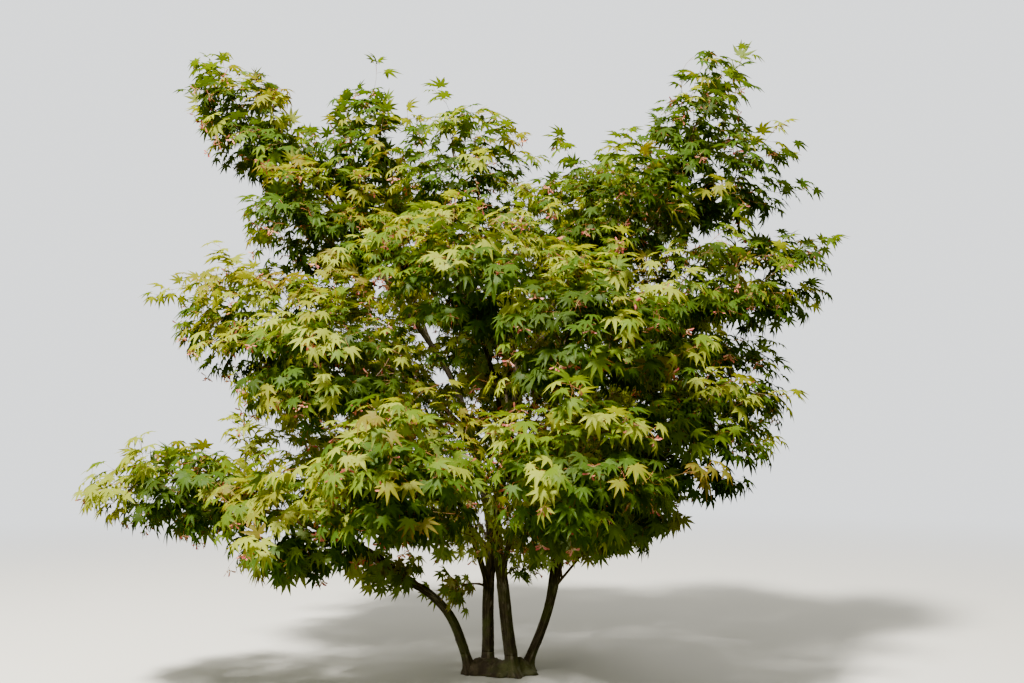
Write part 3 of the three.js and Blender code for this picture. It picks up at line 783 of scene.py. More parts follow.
@dataclass
class Wood:
    """The root crown, stems, long boughs and boughs with their bark."""

    framework: Framework
    sizes: RootSizes
    relief: BarkRelief

    STEM_SEED = 200
    BOUGH_SEED = 300

    def build(self, old_bark: Material, young_bark: Material) -> None:
        """Makes one piece for each limb and one for the root crown; only boughs have young bark."""
        feet: list[Skin] = []
        for number, plan in enumerate(STEMS):
            foot, stem = self._stem(number, self.framework.limbs[plan.name])
            feet.append(foot)
            stem.piece(f"bark_{plan.name}", old_bark, [plan.name], "bark")
        crown = Skin.join([self._old_wood(), *feet])
        crown.piece("bark_root_crown", old_bark, ["root_crown"], "bark")
        for number, limb in enumerate(self.framework.limbs.values()):
            if limb.name.startswith("stem"):
                continue
            is_leader = limb.name.startswith("leader")
            sides, pitch = (30, 8 * MM) if is_leader else (18, 10 * MM)
            tube = BarkedTube(limb, sides, pitch, self.relief, self.BOUGH_SEED + number)
            if is_leader:
                limb.parent_radius = limb.radii[0]
            skin = tube.skin(*tube.grid(0.0, False, tube.collar))
            skin.piece(f"bark_{limb.name}", old_bark if is_leader else young_bark, [limb.name], "bark")

    def _stem(self, number: int, limb: Limb) -> tuple[Skin, Skin]:
        """Returns a stem's foot and the stem above it, cut from one skin at a ring."""
        tube = BarkedTube(limb, 44, 6 * MM, self.relief, self.STEM_SEED + number)
        ground = limb.curve.share_at_height(0.0)
        top = limb.curve.share_at_height(self.sizes.foot_top)

        def swell(share: Array, turn: Array) -> Array:
            """Returns the flare, a power of how far below the foot's top, and the bark's thickness."""
            down = np.clip((top - share) / (top - ground), 0, 1)
            lobes = 1 + self.sizes.lobes * np.cos(3 * turn + 1.9 * number)
            roots = 1 + 0.18 * down * np.cos(7 * turn + number)
            return self.sizes.flare * down**1.8 * lobes * roots + self.relief.layer * (1 - share)

        points, arc, angle = tube.grid(ground, True, swell)
        split = int(np.argmin(abs(points[:, :, 2].mean(1) - self.sizes.foot_top)))
        foot = tube.skin(points[: split + 1], arc[: split + 1], angle)
        return foot, tube.skin(points[split:], arc[split:], angle)

    def _old_wood(self) -> Skin:
        """Returns the old wood between the feet.

        Its height over the ground is a dome, high (1 - r^2)^0.6, plus for each foot a fillet that
        falls as e^(-(distance / fillet)^1.5). Sines of the place make it uneven, grooves wander
        outward, each (1 - |sine|)^2 deep, and it is 0 at its rim.
        """
        sizes = self.sizes
        rings, sides = 34, 96
        r = np.linspace(0, 1, rings)[1:, None]
        a = circle(sides)[None, :]
        rim = 1 + 0.07 * np.cos(5 * a + 0.6) + 0.04 * np.cos(9 * a + 2.0) + 0.02 * np.cos(17 * a)
        x0, y0 = sizes.across * r * rim * np.cos(a), sizes.deep * r * rim * np.sin(a)
        x = x0 * math.cos(sizes.turn) - y0 * math.sin(sizes.turn)
        y = x0 * math.sin(sizes.turn) + y0 * math.cos(sizes.turn)
        height = sizes.high * np.clip(1 - r**2, 0, 1) ** 0.6 + 0 * a
        edge = smooth_step(0.0, 0.25, 1 - r)
        for plan in STEMS:
            limb = self.framework.limbs[plan.name]
            middle = limb.curve.point(np.array(limb.curve.share_at_height(0.5 * sizes.high)))
            apart = np.hypot(x - middle[0], y - middle[1]) - limb.radii[0] * 1.3
            height = height + sizes.rise * edge * np.exp(-((np.maximum(apart, 0) / sizes.fillet) ** 1.5))
        coarse = np.sin(60 * x + 30 * y) * np.sin(50 * y - 40 * x)
        ripple = coarse + 0.5 * np.sin(170 * x) * np.sin(150 * y + 1)
        wander = 7 * a + 1.6 * np.sin(5 * r) + 0.8 * np.sin(3 * a)
        groove = (1 - abs(np.sin(wander))) ** 2 * smooth_step(0.1, 0.5, r)
        height = np.maximum(height + (sizes.ripple * ripple - sizes.groove * groove) * edge, 0)
        height[-1] = 0
        top = np.stack([x, y, height], -1).reshape(-1, 3)
        peak = np.array([[0, 0, height[0].mean()], [0, 0, 0]])
        points = np.concatenate([top, peak])
        around = points[:, :2] / sizes.across
        along = np.stack([points[:, 2], np.full(len(points), 0.03)], -1)
        return Skin(points, closed_faces(rings - 1, sides, True), {"round": around, "along": along})


# The crown


@dataclass(frozen=True)
class TwigRules:
    """How twigs fill a mass."""

    spacing: float = 0.0875  # the least room round a twig's end at the outside of the crown
    inner: float = 1.2  # how many times as much it is deep inside
    # How far out that changes, from 0 at the crown's middle to 1 at its surface.
    inner_at: Pair = (0.3, 0.72)
    near: float = 1.9  # how far round a mass the ends in others count, where 1 is its surface
    # How far inside its mass's surface a twig ends, across, deep and high.
    inset: Triple = (0.085, 0.085, 0.06)
    pool: int = 16000  # places tried for each mass
    path_cost: float = 0.5  # what the path to a joint costs, as a share of its length
    turn_cost: float = 0.3  # what a full turn back costs, as a share of the distance
    joints: tuple[float, ...] = (0.4, 0.7, 0.93)  # where on a twig later ones can join it
    # The first and the last such place on a mass's stem, and how many.
    stem_joints: tuple[float, float, int] = (0.12, 0.97, 9)
    leave: Pair = (0.55, 0.8)  # how much a twig starts along its branch, and how much straight at its end
    bend_at: float = 0.48  # where its bend lies, as a share of its length
    rise: float = 0.05  # how far that is lifted
    tier: float = 0.25  # distance between the layers that the sprays lie in
    tier_share: float = 0.5  # how much of it a layer fills
    tier_fall: float = 0.32  # how steeply a layer falls outward
    tip: float = 0.95 * MM  # radius of a twig's tip
    pipe: float = 0.44  # the power of its number of tips with which a branch's radius grows
    past: float = 0.12  # how far past a joint its branch is still as thick as before it
    old: int = 5  # how many tips an older twig carries at least
    sides: tuple[int, int] = (6, 3)  # how many sides older twigs have, and young ones
    young_rings: tuple[int, ...] = (0, 2, 3, 4)  # which rings of an older twig a young one has
    first_seed: int = 101  # each mass counts its own seed on from here
    rim: float = 0.02  # how far a twig's end keeps inside the solids' box
    leading: int = 4  # how many shoots stand out of a mass at most
    leading_depth: Pair = (1.04, 1.18)  # how far out they end, where 1 is the mass's surface
    leading_apart: float = 0.2  # distance between two of them
    low_pool: int = 600  # places tried for a low spray
    low_spacing: float = 1.1  # the room round its twigs' ends, as a share of the spacing
    low_rise: float = 0.05  # how far the bend of its stem is lifted


@dataclass
class Twigs:
    """All twigs of the crown, each an arch, as arrays with one row per twig."""

    foot: Array  # where it leaves its branch
    bend: Array  # the point it is drawn towards
    end: Array  # its tip
    parent: Array  # the number of the twig it grows from, or -1 for the stem of a mass
    share: Array  # where on its parent it grows
    mass: Array  # the number of its mass
    load: Array  # tips carried beyond each of its rings

    def _beside(self, share: Array) -> tuple[Array, Array, Array, Array]:
        """Returns foot, bend, end and share in shapes that go together."""
        shape = (len(self.foot),) + (1,) * (share.ndim - 1) + (3,)
        foot, bend, end = (v.reshape(shape) for v in (self.foot, self.bend, self.end))
        return foot, bend, end, share[..., None]

    def point(self, share: Array) -> Array:
        """Returns each twig's point at its own share, or at several shares along a second axis."""
        return arch(*self._beside(share))

    def tangent(self, share: Array) -> Array:
        """Returns each twig's unit direction: (bend - foot)(1-s) + (end - bend)s, scaled."""
        foot, bend, end, s = self._beside(share)
        return unit((bend - foot) * (1 - s) + (end - bend) * s)

    def length(self) -> Array:
        """Returns the twigs' lengths: nearly the way by their bends."""
        legs = (lengths(v) for v in (self.bend - self.foot, self.end - self.bend))
        return sum(legs) * 0.97

    def depth(self) -> Array:
        """Returns how deep each twig's end lies in its own mass."""
        return own_depths(self.end, self.mass)


@dataclass
class Crown:
    """Grows the twigs of all masses by the rule of the solids, carried on to fine twigs."""

    framework: Framework  # the limbs
    rules: TwigRules  # the rules of the twigs
    box: Box  # the box of the solids

    RINGS = 5

    def grow(self) -> Twigs:
        """Grows every mass in turn, and then the low sprays.

        Returns:
            The twigs of the crown. The stem of a mass or low spray is the first of its twigs.
        """
        grown: list[dict[str, Array]] = []
        taken = np.empty((0, 3))
        count = 0
        for index, mass in enumerate(MASSES):
            random = np.random.default_rng(self.rules.first_seed + index)
            ends = self._ends(index, taken, random)
            taken = np.concatenate([taken, ends])
            grown.append(self._join(index, self.framework.mass_stems[index], ends, count))
            count += len(ends) + 1
            LOG.info("mass %s: %d twigs", mass.name, len(ends))
        for number, spray in enumerate(LOW_SPRAYS):
            grown.append(self._low_spray(number, spray, count))
            count += len(grown[-1]["mass"])
        joined = {key: np.concatenate([block[key] for block in grown]) for key in grown[0]}
        return Twigs(**joined, load=self._loads(joined["parent"], joined["share"]))

    def _ends(self, index: int, taken: Array, random: Random) -> Array:
        """Spreads the ends of a mass's twigs.

        Of a pool of seeded places in the mass's own space and in its layers, the one with the most
        room round it is taken, again and again, until the best has less room than it should.

        Args:
            index: the mass's number.
            taken: ends already placed in other masses.
            random: the mass's seeded numbers.

        Returns:
            The ends, from the nearest to the mass's foot to the farthest.
        """
        rules = self.rules
        inset = np.array(rules.inset)
        inner = HALVES[index] - inset
        pool = in_ball(rules.pool, random) * inner * HEART_REACH
        pool += LEANS[index] * pool[:, 2:] + MIDDLES[index]
        pool = pool[in_space(lengths(from_middle(pool, index) / inner), pool, inset)]
        pool = pool[inside(pool, self.box, rules.rim)]
        depth = depths(pool)
        own = depth[:, index].copy()
        depth[:, index] = np.inf
        ripple = 0.09 * np.sin(7 * pool[:, 0] + index) * np.sin(6 * pool[:, 1] - index)
        fall = lengths((pool - MIDDLES[index])[:, :2]) * rules.tier_fall
        layer = (pool[:, 2] + fall + ripple * 0.6) / rules.tier + 0.37 * index
        pool = pool[(own < depth.min(1)) & (layer % 1.0 < rules.tier_share) & ~in_opening(pool)]
        share = smooth_step(*rules.inner_at, outside(pool))
        wanted = rules.spacing * (rules.inner + (1 - rules.inner) * share)
        near = taken[lengths(from_middle(taken, index) / HALVES[index]) < rules.near]
        ends = self._spread(pool, wanted, near) + self._leading(index, random)
        foot = self.framework.mass_stems[index].foot
        return np.array(sorted(ends, key=lambda p: float(np.linalg.norm(p - foot))))

    @staticmethod
    def _spread(pool: Array, wanted: Array, near: Array) -> list[Array]:
        """Takes the place with the most room round it, again and again, until the best has too little.

        Args:
            pool: the places.
            wanted: the room that each of them should have.
            near: ends already placed.

        Returns:
            The places taken.
        """
        room = np.full(len(pool), 9.0)
        for end in near:
            room = np.minimum(room, lengths(pool - end))
        ends: list[Array] = []
        while True:
            best = int(np.argmax(room / wanted))
            if room[best] < wanted[best]:
                return ends
            ends.append(pool[best])
            room = np.minimum(room, lengths(pool - pool[best]))

    def _low_spray(self, number: int, spray: LowSpray, first: int) -> dict[str, Array]:
        """Grows a low spray from a stem, through a space of its own.

        Args:
            number: the spray's number.
            spray: the spray.
            first: the number of its first twig.

        Returns:
            Its arrays, as they are joined. It counts with the mass that lies nearest.
        """
        rules = self.rules
        random = np.random.default_rng(rules.first_seed + len(MASSES) + number)
        middle = np.array(spray.middle) * MM
        pool = middle + in_ball(rules.low_pool, random) * np.array(spray.half) * MM
        wanted = np.full(len(pool), rules.low_spacing * rules.spacing)
        foot = self.framework.limbs[spray.on].curve.point(np.array(spray.share))
        ends = self._spread(pool, wanted, np.empty((0, 3)))
        ends.sort(key=lambda p: float(np.linalg.norm(p - foot)))
        stem = Arch(foot, (foot + middle) / 2 + UP * rules.low_rise, middle)
        return self._join(int(np.argmin(depths(middle[None])[0])), stem, np.array(ends), first)

    def _leading(self, index: int, random: Random) -> list[Array]:
        """Picks the ends of the few shoots that stand out of a mass, clear of every other one.

        Args:
            index: the mass's number.
            random: the mass's seeded numbers.

        Returns:
            Their ends.
        """
        rules = self.rules
        way = unit(random.normal(size=(rules.pool // 20, 3)))
        way = way[way[:, 2] > -0.25]
        pool = way * HALVES[index] * random.uniform(*rules.leading_depth, (len(way), 1))
        pool += LEANS[index] * pool[:, 2:] + MIDDLES[index]
        pool = pool[inside(pool, self.box, rules.rim)]
        depth = depths(pool)
        depth[:, index] = np.inf
        ends: list[Array] = []
        for place in pool[depth.min(1) > rules.leading_depth[0]]:
            apart = [float(np.linalg.norm(place - end)) for end in ends]
            if len(ends) < rules.leading and min(apart, default=1.0) > rules.leading_apart:
                ends.append(place)
        return ends

    def _join(self, mass: int, stem: Arch, ends: Array, first: int) -> dict[str, Array]:
        """Joins each end to the branch, from the nearest end to the farthest.

        A twig starts at the joint where distance + path cost x path + turning is least. It leaves
        partly in its branch's direction, and offers joints of its own to later twigs.

        Args:
            mass: the mass's number.
            stem: the mass's stem.
            ends: the ends in order.
            first: the number of the mass's first twig.

        Returns:
            The arrays of its twigs by name, with the stem in their first row.
        """
        rules = self.rules
        offered = np.array(rules.joints)
        stem_shares = np.linspace(*rules.stem_joints)
        size = len(stem_shares) + len(ends) * len(offered)
        point, way = np.empty((size, 3)), np.empty((size, 3))
        path, twig, share = np.empty(size), np.empty(size, dtype=int), np.empty(size)
        used = len(stem_shares)
        point[:used], way[:used] = stem.point(stem_shares), stem.tangent(stem_shares)
        path[:used], twig[:used], share[:used] = stem_shares * stem.length(), first, stem_shares
        feet, bends, parents, shares = [stem.foot], [stem.bend], [-1], [1.0]
        for number, end in enumerate(ends):
            chord = end - point[:used]
            far = lengths(chord)
            ahead = (chord * way[:used]).sum(1) / np.maximum(far, 1e-9)
            best = int(np.argmin(far * (1 + rules.turn_cost * (1 - ahead)) + rules.path_cost * path[:used]))
            start = unit(rules.leave[0] * way[best] + rules.leave[1] * unit(chord[best]))
            bend = point[best] + start * rules.bend_at * far[best] + UP * rules.rise * far[best]
            feet.append(point[best].copy())
            bends.append(bend)
            parents.append(twig[best])
            shares.append(share[best])
            grown = Arch(point[best].copy(), bend, end)
            new = slice(used, used + len(offered))
            point[new], way[new] = grown.point(offered), grown.tangent(offered)
            path[new] = path[best] + offered * far[best]
            twig[new], share[new] = first + 1 + number, offered
            used += len(offered)
        return {
            "foot": np.array(feet),
            "bend": np.array(bends),
            "end": np.vstack([stem.tip, ends]),
            "parent": np.array(parents),
            "share": np.array(shares),
            "mass": np.full(len(parents), mass),
        }

    def _loads(self, parent: Array, share: Array) -> Array:
        """Counts the tips that each twig carries beyond each of its rings, from the last twig back."""
        ring_shares = np.linspace(0, 1, self.RINGS)
        load = np.ones((len(parent), self.RINGS))
        for twig in range(len(parent) - 1, -1, -1):
            if parent[twig] >= 0:
                before = ring_shares <= share[twig] + self.rules.past
                load[parent[twig]] += np.where(before, load[twig, 0], 0)
        return load


# Rods and leaves


def dealt(count: int) -> Array:
    """Returns a number from 0 to 1 for each of many rods, each far from the one before."""
    return np.arange(count) * 0.618 % 1


def side_helper(ways: Array) -> Array:
    """Returns an axis that is never along the unit way: X for a steep one and Z for a flat one."""
    return np.where(abs(ways[:, 2:3]) > 0.8, [[1.0, 0.0, 0.0]], [[0.0, 0.0, 1.0]])


def rods(points: Array, radius: Array, sides: int) -> Skin:
    """Makes closed tubes round many lines at once.

    A ring's point is the line's point plus the radius times (across cos a + over sin a), where
    across stands square to the line on the same side all along it.

    Args:
        points: points by rod and ring.
        radius: radii by rod and ring.
        sides: points in each ring.

    Returns:
        A skin with a map "along": the rod's own number and the share along it.
    """
    count, rings = radius.shape
    along = unit(np.gradient(points, axis=1))
    helper = side_helper(unit(points[:, -1] - points[:, 0]))
    across = square_to(np.broadcast_to(helper[:, None], along.shape), along)
    over = np.cross(along, across)
    angle = circle(sides)[:, None]
    wheel = across[:, :, None] * np.cos(angle) + over[:, :, None] * np.sin(angle)
    shell = points[:, :, None] + radius[:, :, None, None] * wheel
    last = (rings - 1) * sides
    caps = [[0, k + 1, k] for k in range(1, sides - 1)]
    caps += [[last, last + k, last + k + 1] for k in range(1, sides - 1)]
    number = np.broadcast_to(dealt(count)[:, None, None], shell.shape[:3])
    share = np.broadcast_to(np.linspace(0, 1, rings)[None, :, None], shell.shape[:3])
    faces = [wheel_faces(rings, sides), np.array(caps)]
    return Skin.repeat(shell.reshape(count, -1, 3), faces, "along", np.stack([number, share], -1))


def spikes(foot: Array, tip: Array, radius: float) -> Skin:
    """Makes a closed spike with three sides for each foot and tip, mapped like the tubes.

    Args:
        foot: where each spike starts, at full radius.
        tip: where it ends in a point.
        radius: the radius.

    Returns:
        One skin.
    """
    along = unit(tip - foot)
    across = square_to(side_helper(along), along)
    over = np.cross(along, across)
    angle = circle(3)[:, None]
    ring = foot[:, None] + radius * (across[:, None] * np.cos(angle) + over[:, None] * np.sin(angle))
    points = np.concatenate([ring, tip[:, None]], 1)
    faces = np.array([[0, 1, 3], [1, 2, 3], [2, 0, 3], [0, 2, 1]])
    number = np.broadcast_to(dealt(len(foot))[:, None], points.shape[:2])
    share = np.broadcast_to([0.0, 0.0, 0.0, 1.0], points.shape[:2])
    return Skin.repeat(points, [faces], "along", np.stack([number, share], -1))


class Tone(Enum):
    """The tones that the sprays of leaves are dealt: paler and deeper copies of one leaf that paint light
    and shade, and a few tinted ones.
    """

    PALE = "pale"
    FRESH = "fresh"
    GOLDEN = "golden"
    GREEN = "green"
    DEEP = "deep"
    BRONZE = "bronze"


# The tones for sprays in bright, middling and dim light, each with the chance up to which it is dealt: pale
# tones are painted light, green and deep ones painted shade.
BRIGHT = ((Tone.PALE, 0.5), (Tone.FRESH, 0.8), (Tone.GOLDEN, 0.93), (Tone.BRONZE, 1.0))
MIDDLING = ((Tone.FRESH, 0.5), (Tone.GREEN, 0.8), (Tone.GOLDEN, 0.9), (Tone.PALE, 1.0))
DIM = ((Tone.GREEN, 0.4), (Tone.DEEP, 0.92), (Tone.FRESH, 1.0))


def deal(chance: Array, tones: tuple[tuple[Tone, float], ...]) -> Array:
    """Returns the name of the tone that each chance from 0 to 1 is dealt."""
    names = np.array([tone.value for tone, _ in tones])
    return names[np.searchsorted([bound for _, bound in tones], chance, side="right")]


@dataclass(frozen=True)
class LeafShape:
    """A leaf with five long lobes and two short ones at its stalk, as shares of its reach."""

    # The lobes' directions on one side, from the middle lobe to the basal one, degrees.
    angles: tuple[float, ...] = (0, 37, 76, 122)
    reaches: tuple[float, ...] = (1.0, 0.95, 0.75, 0.4)  # how far each lobe reaches
    # How far from the stalk the blade is cut between two lobes.
    sinuses: tuple[float, ...] = (0.36, 0.33, 0.25)
    widest: float = 0.52  # where along a lobe it is widest
    width: float = 0.122  # half a lobe's width there
    rib: float = 0.45  # where along a lobe its midrib has a point
    back: Pair = (158, 0.12)  # the direction and the distance of the rim's last point, behind the stalk
    plain: bool = False  # whether a lobe runs straight from the cuts to its tip, for small leaves

    def template(self) -> tuple[Array, Array, Array, Array]:
        """Works out the flat leaf.

        Returns:
            Angles and distances of the points from the stalk's end, a map with 1 on the ribs and 0
            on the rim and with the share along the lobe, and triangles that face up.
        """
        angle, reach, marks = [0.0], [0.0], [(1.0, 0.0)]

        def add(direction: float, distance: float, on_rib: float, share: float) -> int:
            """Adds a point and returns its number."""
            angle.append(direction)
            reach.append(distance)
            marks.append((on_rib, share))
            return len(angle) - 1

        cuts = {}
        for sign in (-1, 1):
            for k, depth in enumerate(self.sinuses):
                between = math.radians((self.angles[k] + self.angles[k + 1]) / 2)
                cuts[sign * (k + 1)] = add(sign * between, depth, 0.0, depth)
        faces = []
        for lobe in range(-2, 3):
            k, sign = abs(lobe), -1 if lobe < 0 else 1
            direction, far = sign * math.radians(self.angles[k]), self.reaches[k]
            tip = add(direction, far, 1.0, 1.0)
            low = cuts[lobe if lobe > 0 else lobe - 1]
            high = cuts[lobe if lobe < 0 else lobe + 1]
            if self.plain:
                faces += [(0, low, tip), (0, tip, high)]
                continue
            width = self.width * (0.75 + 0.25 * far)
            slant = math.atan2(width, self.widest * far)
            broad = math.hypot(width, self.widest * far)
            rib = add(direction, self.rib * far, 1.0, self.rib)
            right = add(direction - slant, broad, 0.0, self.widest)
            left = add(direction + slant, broad, 0.0, self.widest)
            faces += [(0, low, rib), (low, right, rib), (right, tip, rib)]
            faces += [(rib, tip, left), (rib, left, high), (0, rib, high)]
        for sign in (-1, 1):
            tip = add(sign * math.radians(self.angles[3]), self.reaches[3], 1.0, 1.0)
            back = add(sign * math.radians(self.back[0]), self.back[1], 0.0, self.back[1])
            pair = [(0, cuts[sign * 3], tip), (0, tip, back)]
            faces += pair if sign > 0 else [(a, c, b) for a, b, c in pair]
        return np.array(angle), np.array(reach), np.array(marks), np.array(faces)


@dataclass(frozen=True)
class LeafRules:
    """How leaves sit on the twigs."""

    reach: Pair = (0.06, 0.086)  # the middle lobe's least and greatest length
    # The size of each pair's leaves, from the twig's tip back.
    pair_size: tuple[float, ...] = (0.86, 1.0, 1.06, 1.06, 1.0)
    pair_ahead: tuple[float, ...] = (0.75, 0.4, 0.3, 0.3, 0.3)  # how far each pair's stalks lean ahead
    stalk: float = 0.6  # the stalk's length, as a share of the reach
    stalk_radius: float = 0.75 * MM  # its radius
    internode: float = 0.045  # distance between two pairs of leaves
    nodes: tuple[int, int] = (3, 5)  # pairs of leaves on a twig at most, outside and deep inside the crown
    inner_size: float = 0.6  # how large all of a leaf is deep inside, as a share of the outside
    inner: Pair = (0.5, 0.85)  # how far out that changes, from 0 at the crown's middle to 1 at its surface
    small: float = 0.05  # a leaf with a shorter reach has the plain shape
    bare: float = 0.25  # the share of a twig at its foot that bears no leaves
    tilt: Pair = (0.62, 0.7)  # how far a leaf faces up and how far out of the crown
    droop: Pair = (0.12, 0.48)  # the least and greatest fall of a lobe's tip, as a share of the reach
    fold: Pair = (0.0, 0.07)  # how far the halves of a lobe rise from its rib
    fringe: float = 0.3  # how far a leaf may lean over the border between two masses
    ahead: float = 0.4  # how much deeper than its end's own surface a leading shoot may bear its leaves
    margin: float = 0.05  # how far a leaf may pass the solids' box
    # How much more painted light a metre to the right, back and up gives a spray, which shifts its tone
    # paler or deeper.
    bright_way: Triple = (-0.06, 0.0, -0.15)
    light: Pair = (0.17, 0.34)  # how much light a spray of middling tone gets at least, and a bright one
    stray: float = 0.15  # the share of the leaves that are dealt a tone of their own
    seed: int = 4001  # the seed of everything about leaves


@dataclass
class LeafSet:
    """The places of all leaves, one row per leaf."""

    node: Array
    base: Array
    along: Array
    normal: Array
    reach: Array
    twig: Array

    def keep(self, picked: Array) -> LeafSet:
        """Returns the leaves that a mask or a list of numbers picks."""
        return LeafSet(*(getattr(self, part.name)[picked] for part in fields(self)))


class Foliage:
    """Twigs, leaves, leaf stalks and winged seeds of the whole crown."""

    def __init__(self, crown: Crown, rules: LeafRules) -> None:
        """Grows the crown's twigs, which everything else grows from."""
        self.crown = crown
        self.twigs = crown.grow()
        self.rules = rules
        self.random = np.random.default_rng(rules.seed)
        self.nodes = [f"leaves_{mass.name}" for mass in MASSES]
        LOG.info("crown: %d twigs", len(self.twigs.foot))

    def build(self, finishes: Finishes) -> None:
        """Makes all pieces of the foliage.

        Args:
            finishes: the materials.
        """
        self._twigs(finishes)
        leaves = self._fitting(self._place())
        large = leaves.reach >= self.rules.small
        self._stalks(leaves.keep(large), leaves.keep(~large), finishes)
        tones = self._tones(leaves)
        for tone in Tone:
            for name, mask, plain in (("leaves", large, False), ("inner_leaves", ~large, True)):
                picked = leaves.keep((tones == tone.value) & mask)
                blades = self._blades(picked, LeafShape(plain=plain))
                blades.piece(f"{name}_{tone.value}", finishes.leaf[tone], self.nodes, "foliage")
        Seeds(SeedSizes(), self.twigs, self.crown.box).build(finishes, self.nodes)

    def _twigs(self, finishes: Finishes) -> None:
        """Makes the twigs: older ones with six sides, and young ones with three and fewer rings.

        A twig's radius is that of a tip times the tips it carries to the power pipe. A mass's stem
        starts as thick as its bough ends.
        """
        rules, twigs, rings = self.crown.rules, self.twigs, self.crown.RINGS
        points = twigs.point(np.broadcast_to(np.linspace(0, 1, rings), twigs.load.shape))
        radius = rules.tip * twigs.load**rules.pipe
        is_stem = twigs.parent < 0
        foot = self.crown.framework.rules.bough_tip
        radius[is_stem] *= (foot / radius[is_stem, :1]) ** np.linspace(1, 0, rings)
        old = twigs.load[:, 0] >= rules.old
        older = rods(points[old], radius[old], rules.sides[0])
        older.piece("twigs_old", finishes.twig, self.nodes, "bark")
        kept = list(rules.young_rings)
        young = rods(points[~old][:, kept], radius[~old][:, kept], rules.sides[1])
        young.piece("twigs_young", finishes.shoot, self.nodes, "bark")

    def _place(self) -> LeafSet:
        """Places opposite pairs of leaves at the nodes near the end of every twig.

        The stalks of a pair leave to both sides and a little ahead and up, each pair a quarter turn
        round from the one before. A blade goes on from its stalk, leans out of the crown and hangs,
        with its face up and outward. All directions and sizes are uneven by seeded amounts.

        Returns:
            Every leaf that the twigs could carry.
        """
        rules, random, twigs = self.rules, self.random, self.twigs
        count, nodes = len(twigs.foot), rules.nodes[1]
        number = np.arange(nodes)[None, :]
        out_share = smooth_step(*rules.inner, outside(twigs.end)[:, None])
        size = rules.inner_size + (1 - rules.inner_size) * out_share
        back = number * rules.internode * size * random.uniform(0.75, 1.25, (count, nodes))
        share = 1 - back / twigs.length()[:, None]
        point = twigs.point(share)
        way = twigs.tangent(np.clip(share, 0, 1))
        out = outward(np.repeat(twigs.mass, nodes), point.reshape(-1, 3)).reshape(point.shape)
        tilt = unit(rules.tilt[0] * UP + rules.tilt[1] * out)
        up = square_to(tilt, way)
        side = np.cross(up, way)
        turn = random.normal(0, 0.3, (count, 1)) + number * math.pi / 2
        turn = turn + random.normal(0, 0.2, turn.shape)
        axis = np.cos(turn)[..., None] * side + 0.5 * np.sin(turn)[..., None] * up
        sign = np.array([1.0, -1.0])[None, None, :, None]
        ahead = np.array(rules.pair_ahead)[None, :, None, None]
        shape = (count, nodes, 2, 3)
        jitter = random.normal(0, 0.22, shape)
        stalk = unit(sign * axis[:, :, None] * 0.85 + ahead * way[:, :, None] + 0.12 * UP + jitter)
        reach = random.uniform(*rules.reach, shape[:3])
        reach = reach * np.array(rules.pair_size)[None, :, None] * size[..., None]
        node = np.broadcast_to(point[:, :, None], shape)
        base = node + stalk * (rules.stalk * reach * random.uniform(0.7, 1.3, reach.shape))[..., None]
        fall = random.uniform(0.4, 1.15, reach.shape)[..., None]
        along = unit(0.75 * stalk + 0.5 * out[:, :, None] - fall * UP + random.normal(0, 0.16, shape))
        face = unit(tilt[:, :, None] + 0.25 * stalk + random.normal(0, 0.2, shape))
        normal = square_to(face, along)
        more = (size < 0.8) | (twigs.depth()[:, None] > 1)
        fits = (share > rules.bare) & ((number < rules.nodes[0]) | more)
        fits = np.broadcast_to(fits[:, :, None], shape[:3]).ravel()
        twig = np.broadcast_to(np.arange(count)[:, None, None], shape[:3]).ravel()
        flat = [v.reshape(-1, 3) for v in (node, base, along, normal)]
        return LeafSet(*flat, reach.ravel(), twig).keep(fits)

    def _fitting(self, leaves: LeafSet) -> LeafSet:
        """Keeps the leaves that stay in their mass's space and touch no limb.

        Args:
            leaves: every leaf.

        Returns:
            Those whose tip lies in the mass, not far over its border, inside the solids' box, and
            whose middle is clear of every limb.
        """
        rules = self.rules
        tip = leaves.base + leaves.along * leaves.reach[:, None]
        mass = self.twigs.mass[leaves.twig]
        depth = depths(tip)
        own = depth[np.arange(len(mass)), mass]
        depth[np.arange(len(mass)), mass] = np.inf
        end = self.twigs.depth()
        ahead = np.where(end > 1, end - 1 + rules.ahead, 0.0)[leaves.twig]
        fits = in_space(own - ahead, tip, np.zeros(3)) & (depth.min(1) > own - rules.fringe)
        fits &= inside(tip, self.crown.box, -rules.margin) & ~in_opening(tip)
        middle = leaves.base + leaves.along * (0.4 * leaves.reach)[:, None]
        for point, radius in zip(*self.crown.framework.axis_points()):
            fits &= ((middle - point) ** 2).sum(1) > (radius + 0.3 * leaves.reach) ** 2
        return leaves.keep(fits)

    def _tones(self, leaves: LeafSet) -> Array:
        """Deals a tone to each spray, by how much light reaches it, and now and then to a leaf: pale tones
        paint light on lit sprays and deep ones paint shade on shaded ones.

        Its painted light is 0.22 x how far it faces up + 0.8 x (its depth - 0.55) + a seeded share of the
        branch and of the twig + the share that its place gives it.

        Args:
            leaves: the leaves.

        Returns:
            The tone of each leaf.
        """
        twigs, random = self.twigs, self.random
        out = outward(twigs.mass, twigs.end)
        depth = twigs.depth().clip(max=1.2)
        spray = twigs.parent.clip(0)
        own = random.normal(0, 0.2, len(depth))
        # Painted light and shade: sprays that face up and lie far out get more light and so paler tones.
        light = 0.22 * out[:, 2] + 0.8 * (depth - 0.55) + 0.7 * own[spray] + 0.4 * own
        # Painted light by place: sprays further left and lower down get paler tones.
        light += (twigs.end - CROWN_MIDDLE) @ np.array(self.rules.bright_way)
        chance = random.uniform(size=len(depth))[spray]
        light, chance = light[leaves.twig], chance[leaves.twig]
        is_stray = random.uniform(size=len(chance)) < self.rules.stray
        chance = np.where(is_stray, random.uniform(size=len(chance)), chance)
        bright, middling, dim = (deal(chance, tones) for tones in (BRIGHT, MIDDLING, DIM))
        least = self.rules.light
        return np.select([light > least[1], light > least[0]], [bright, middling], dim)

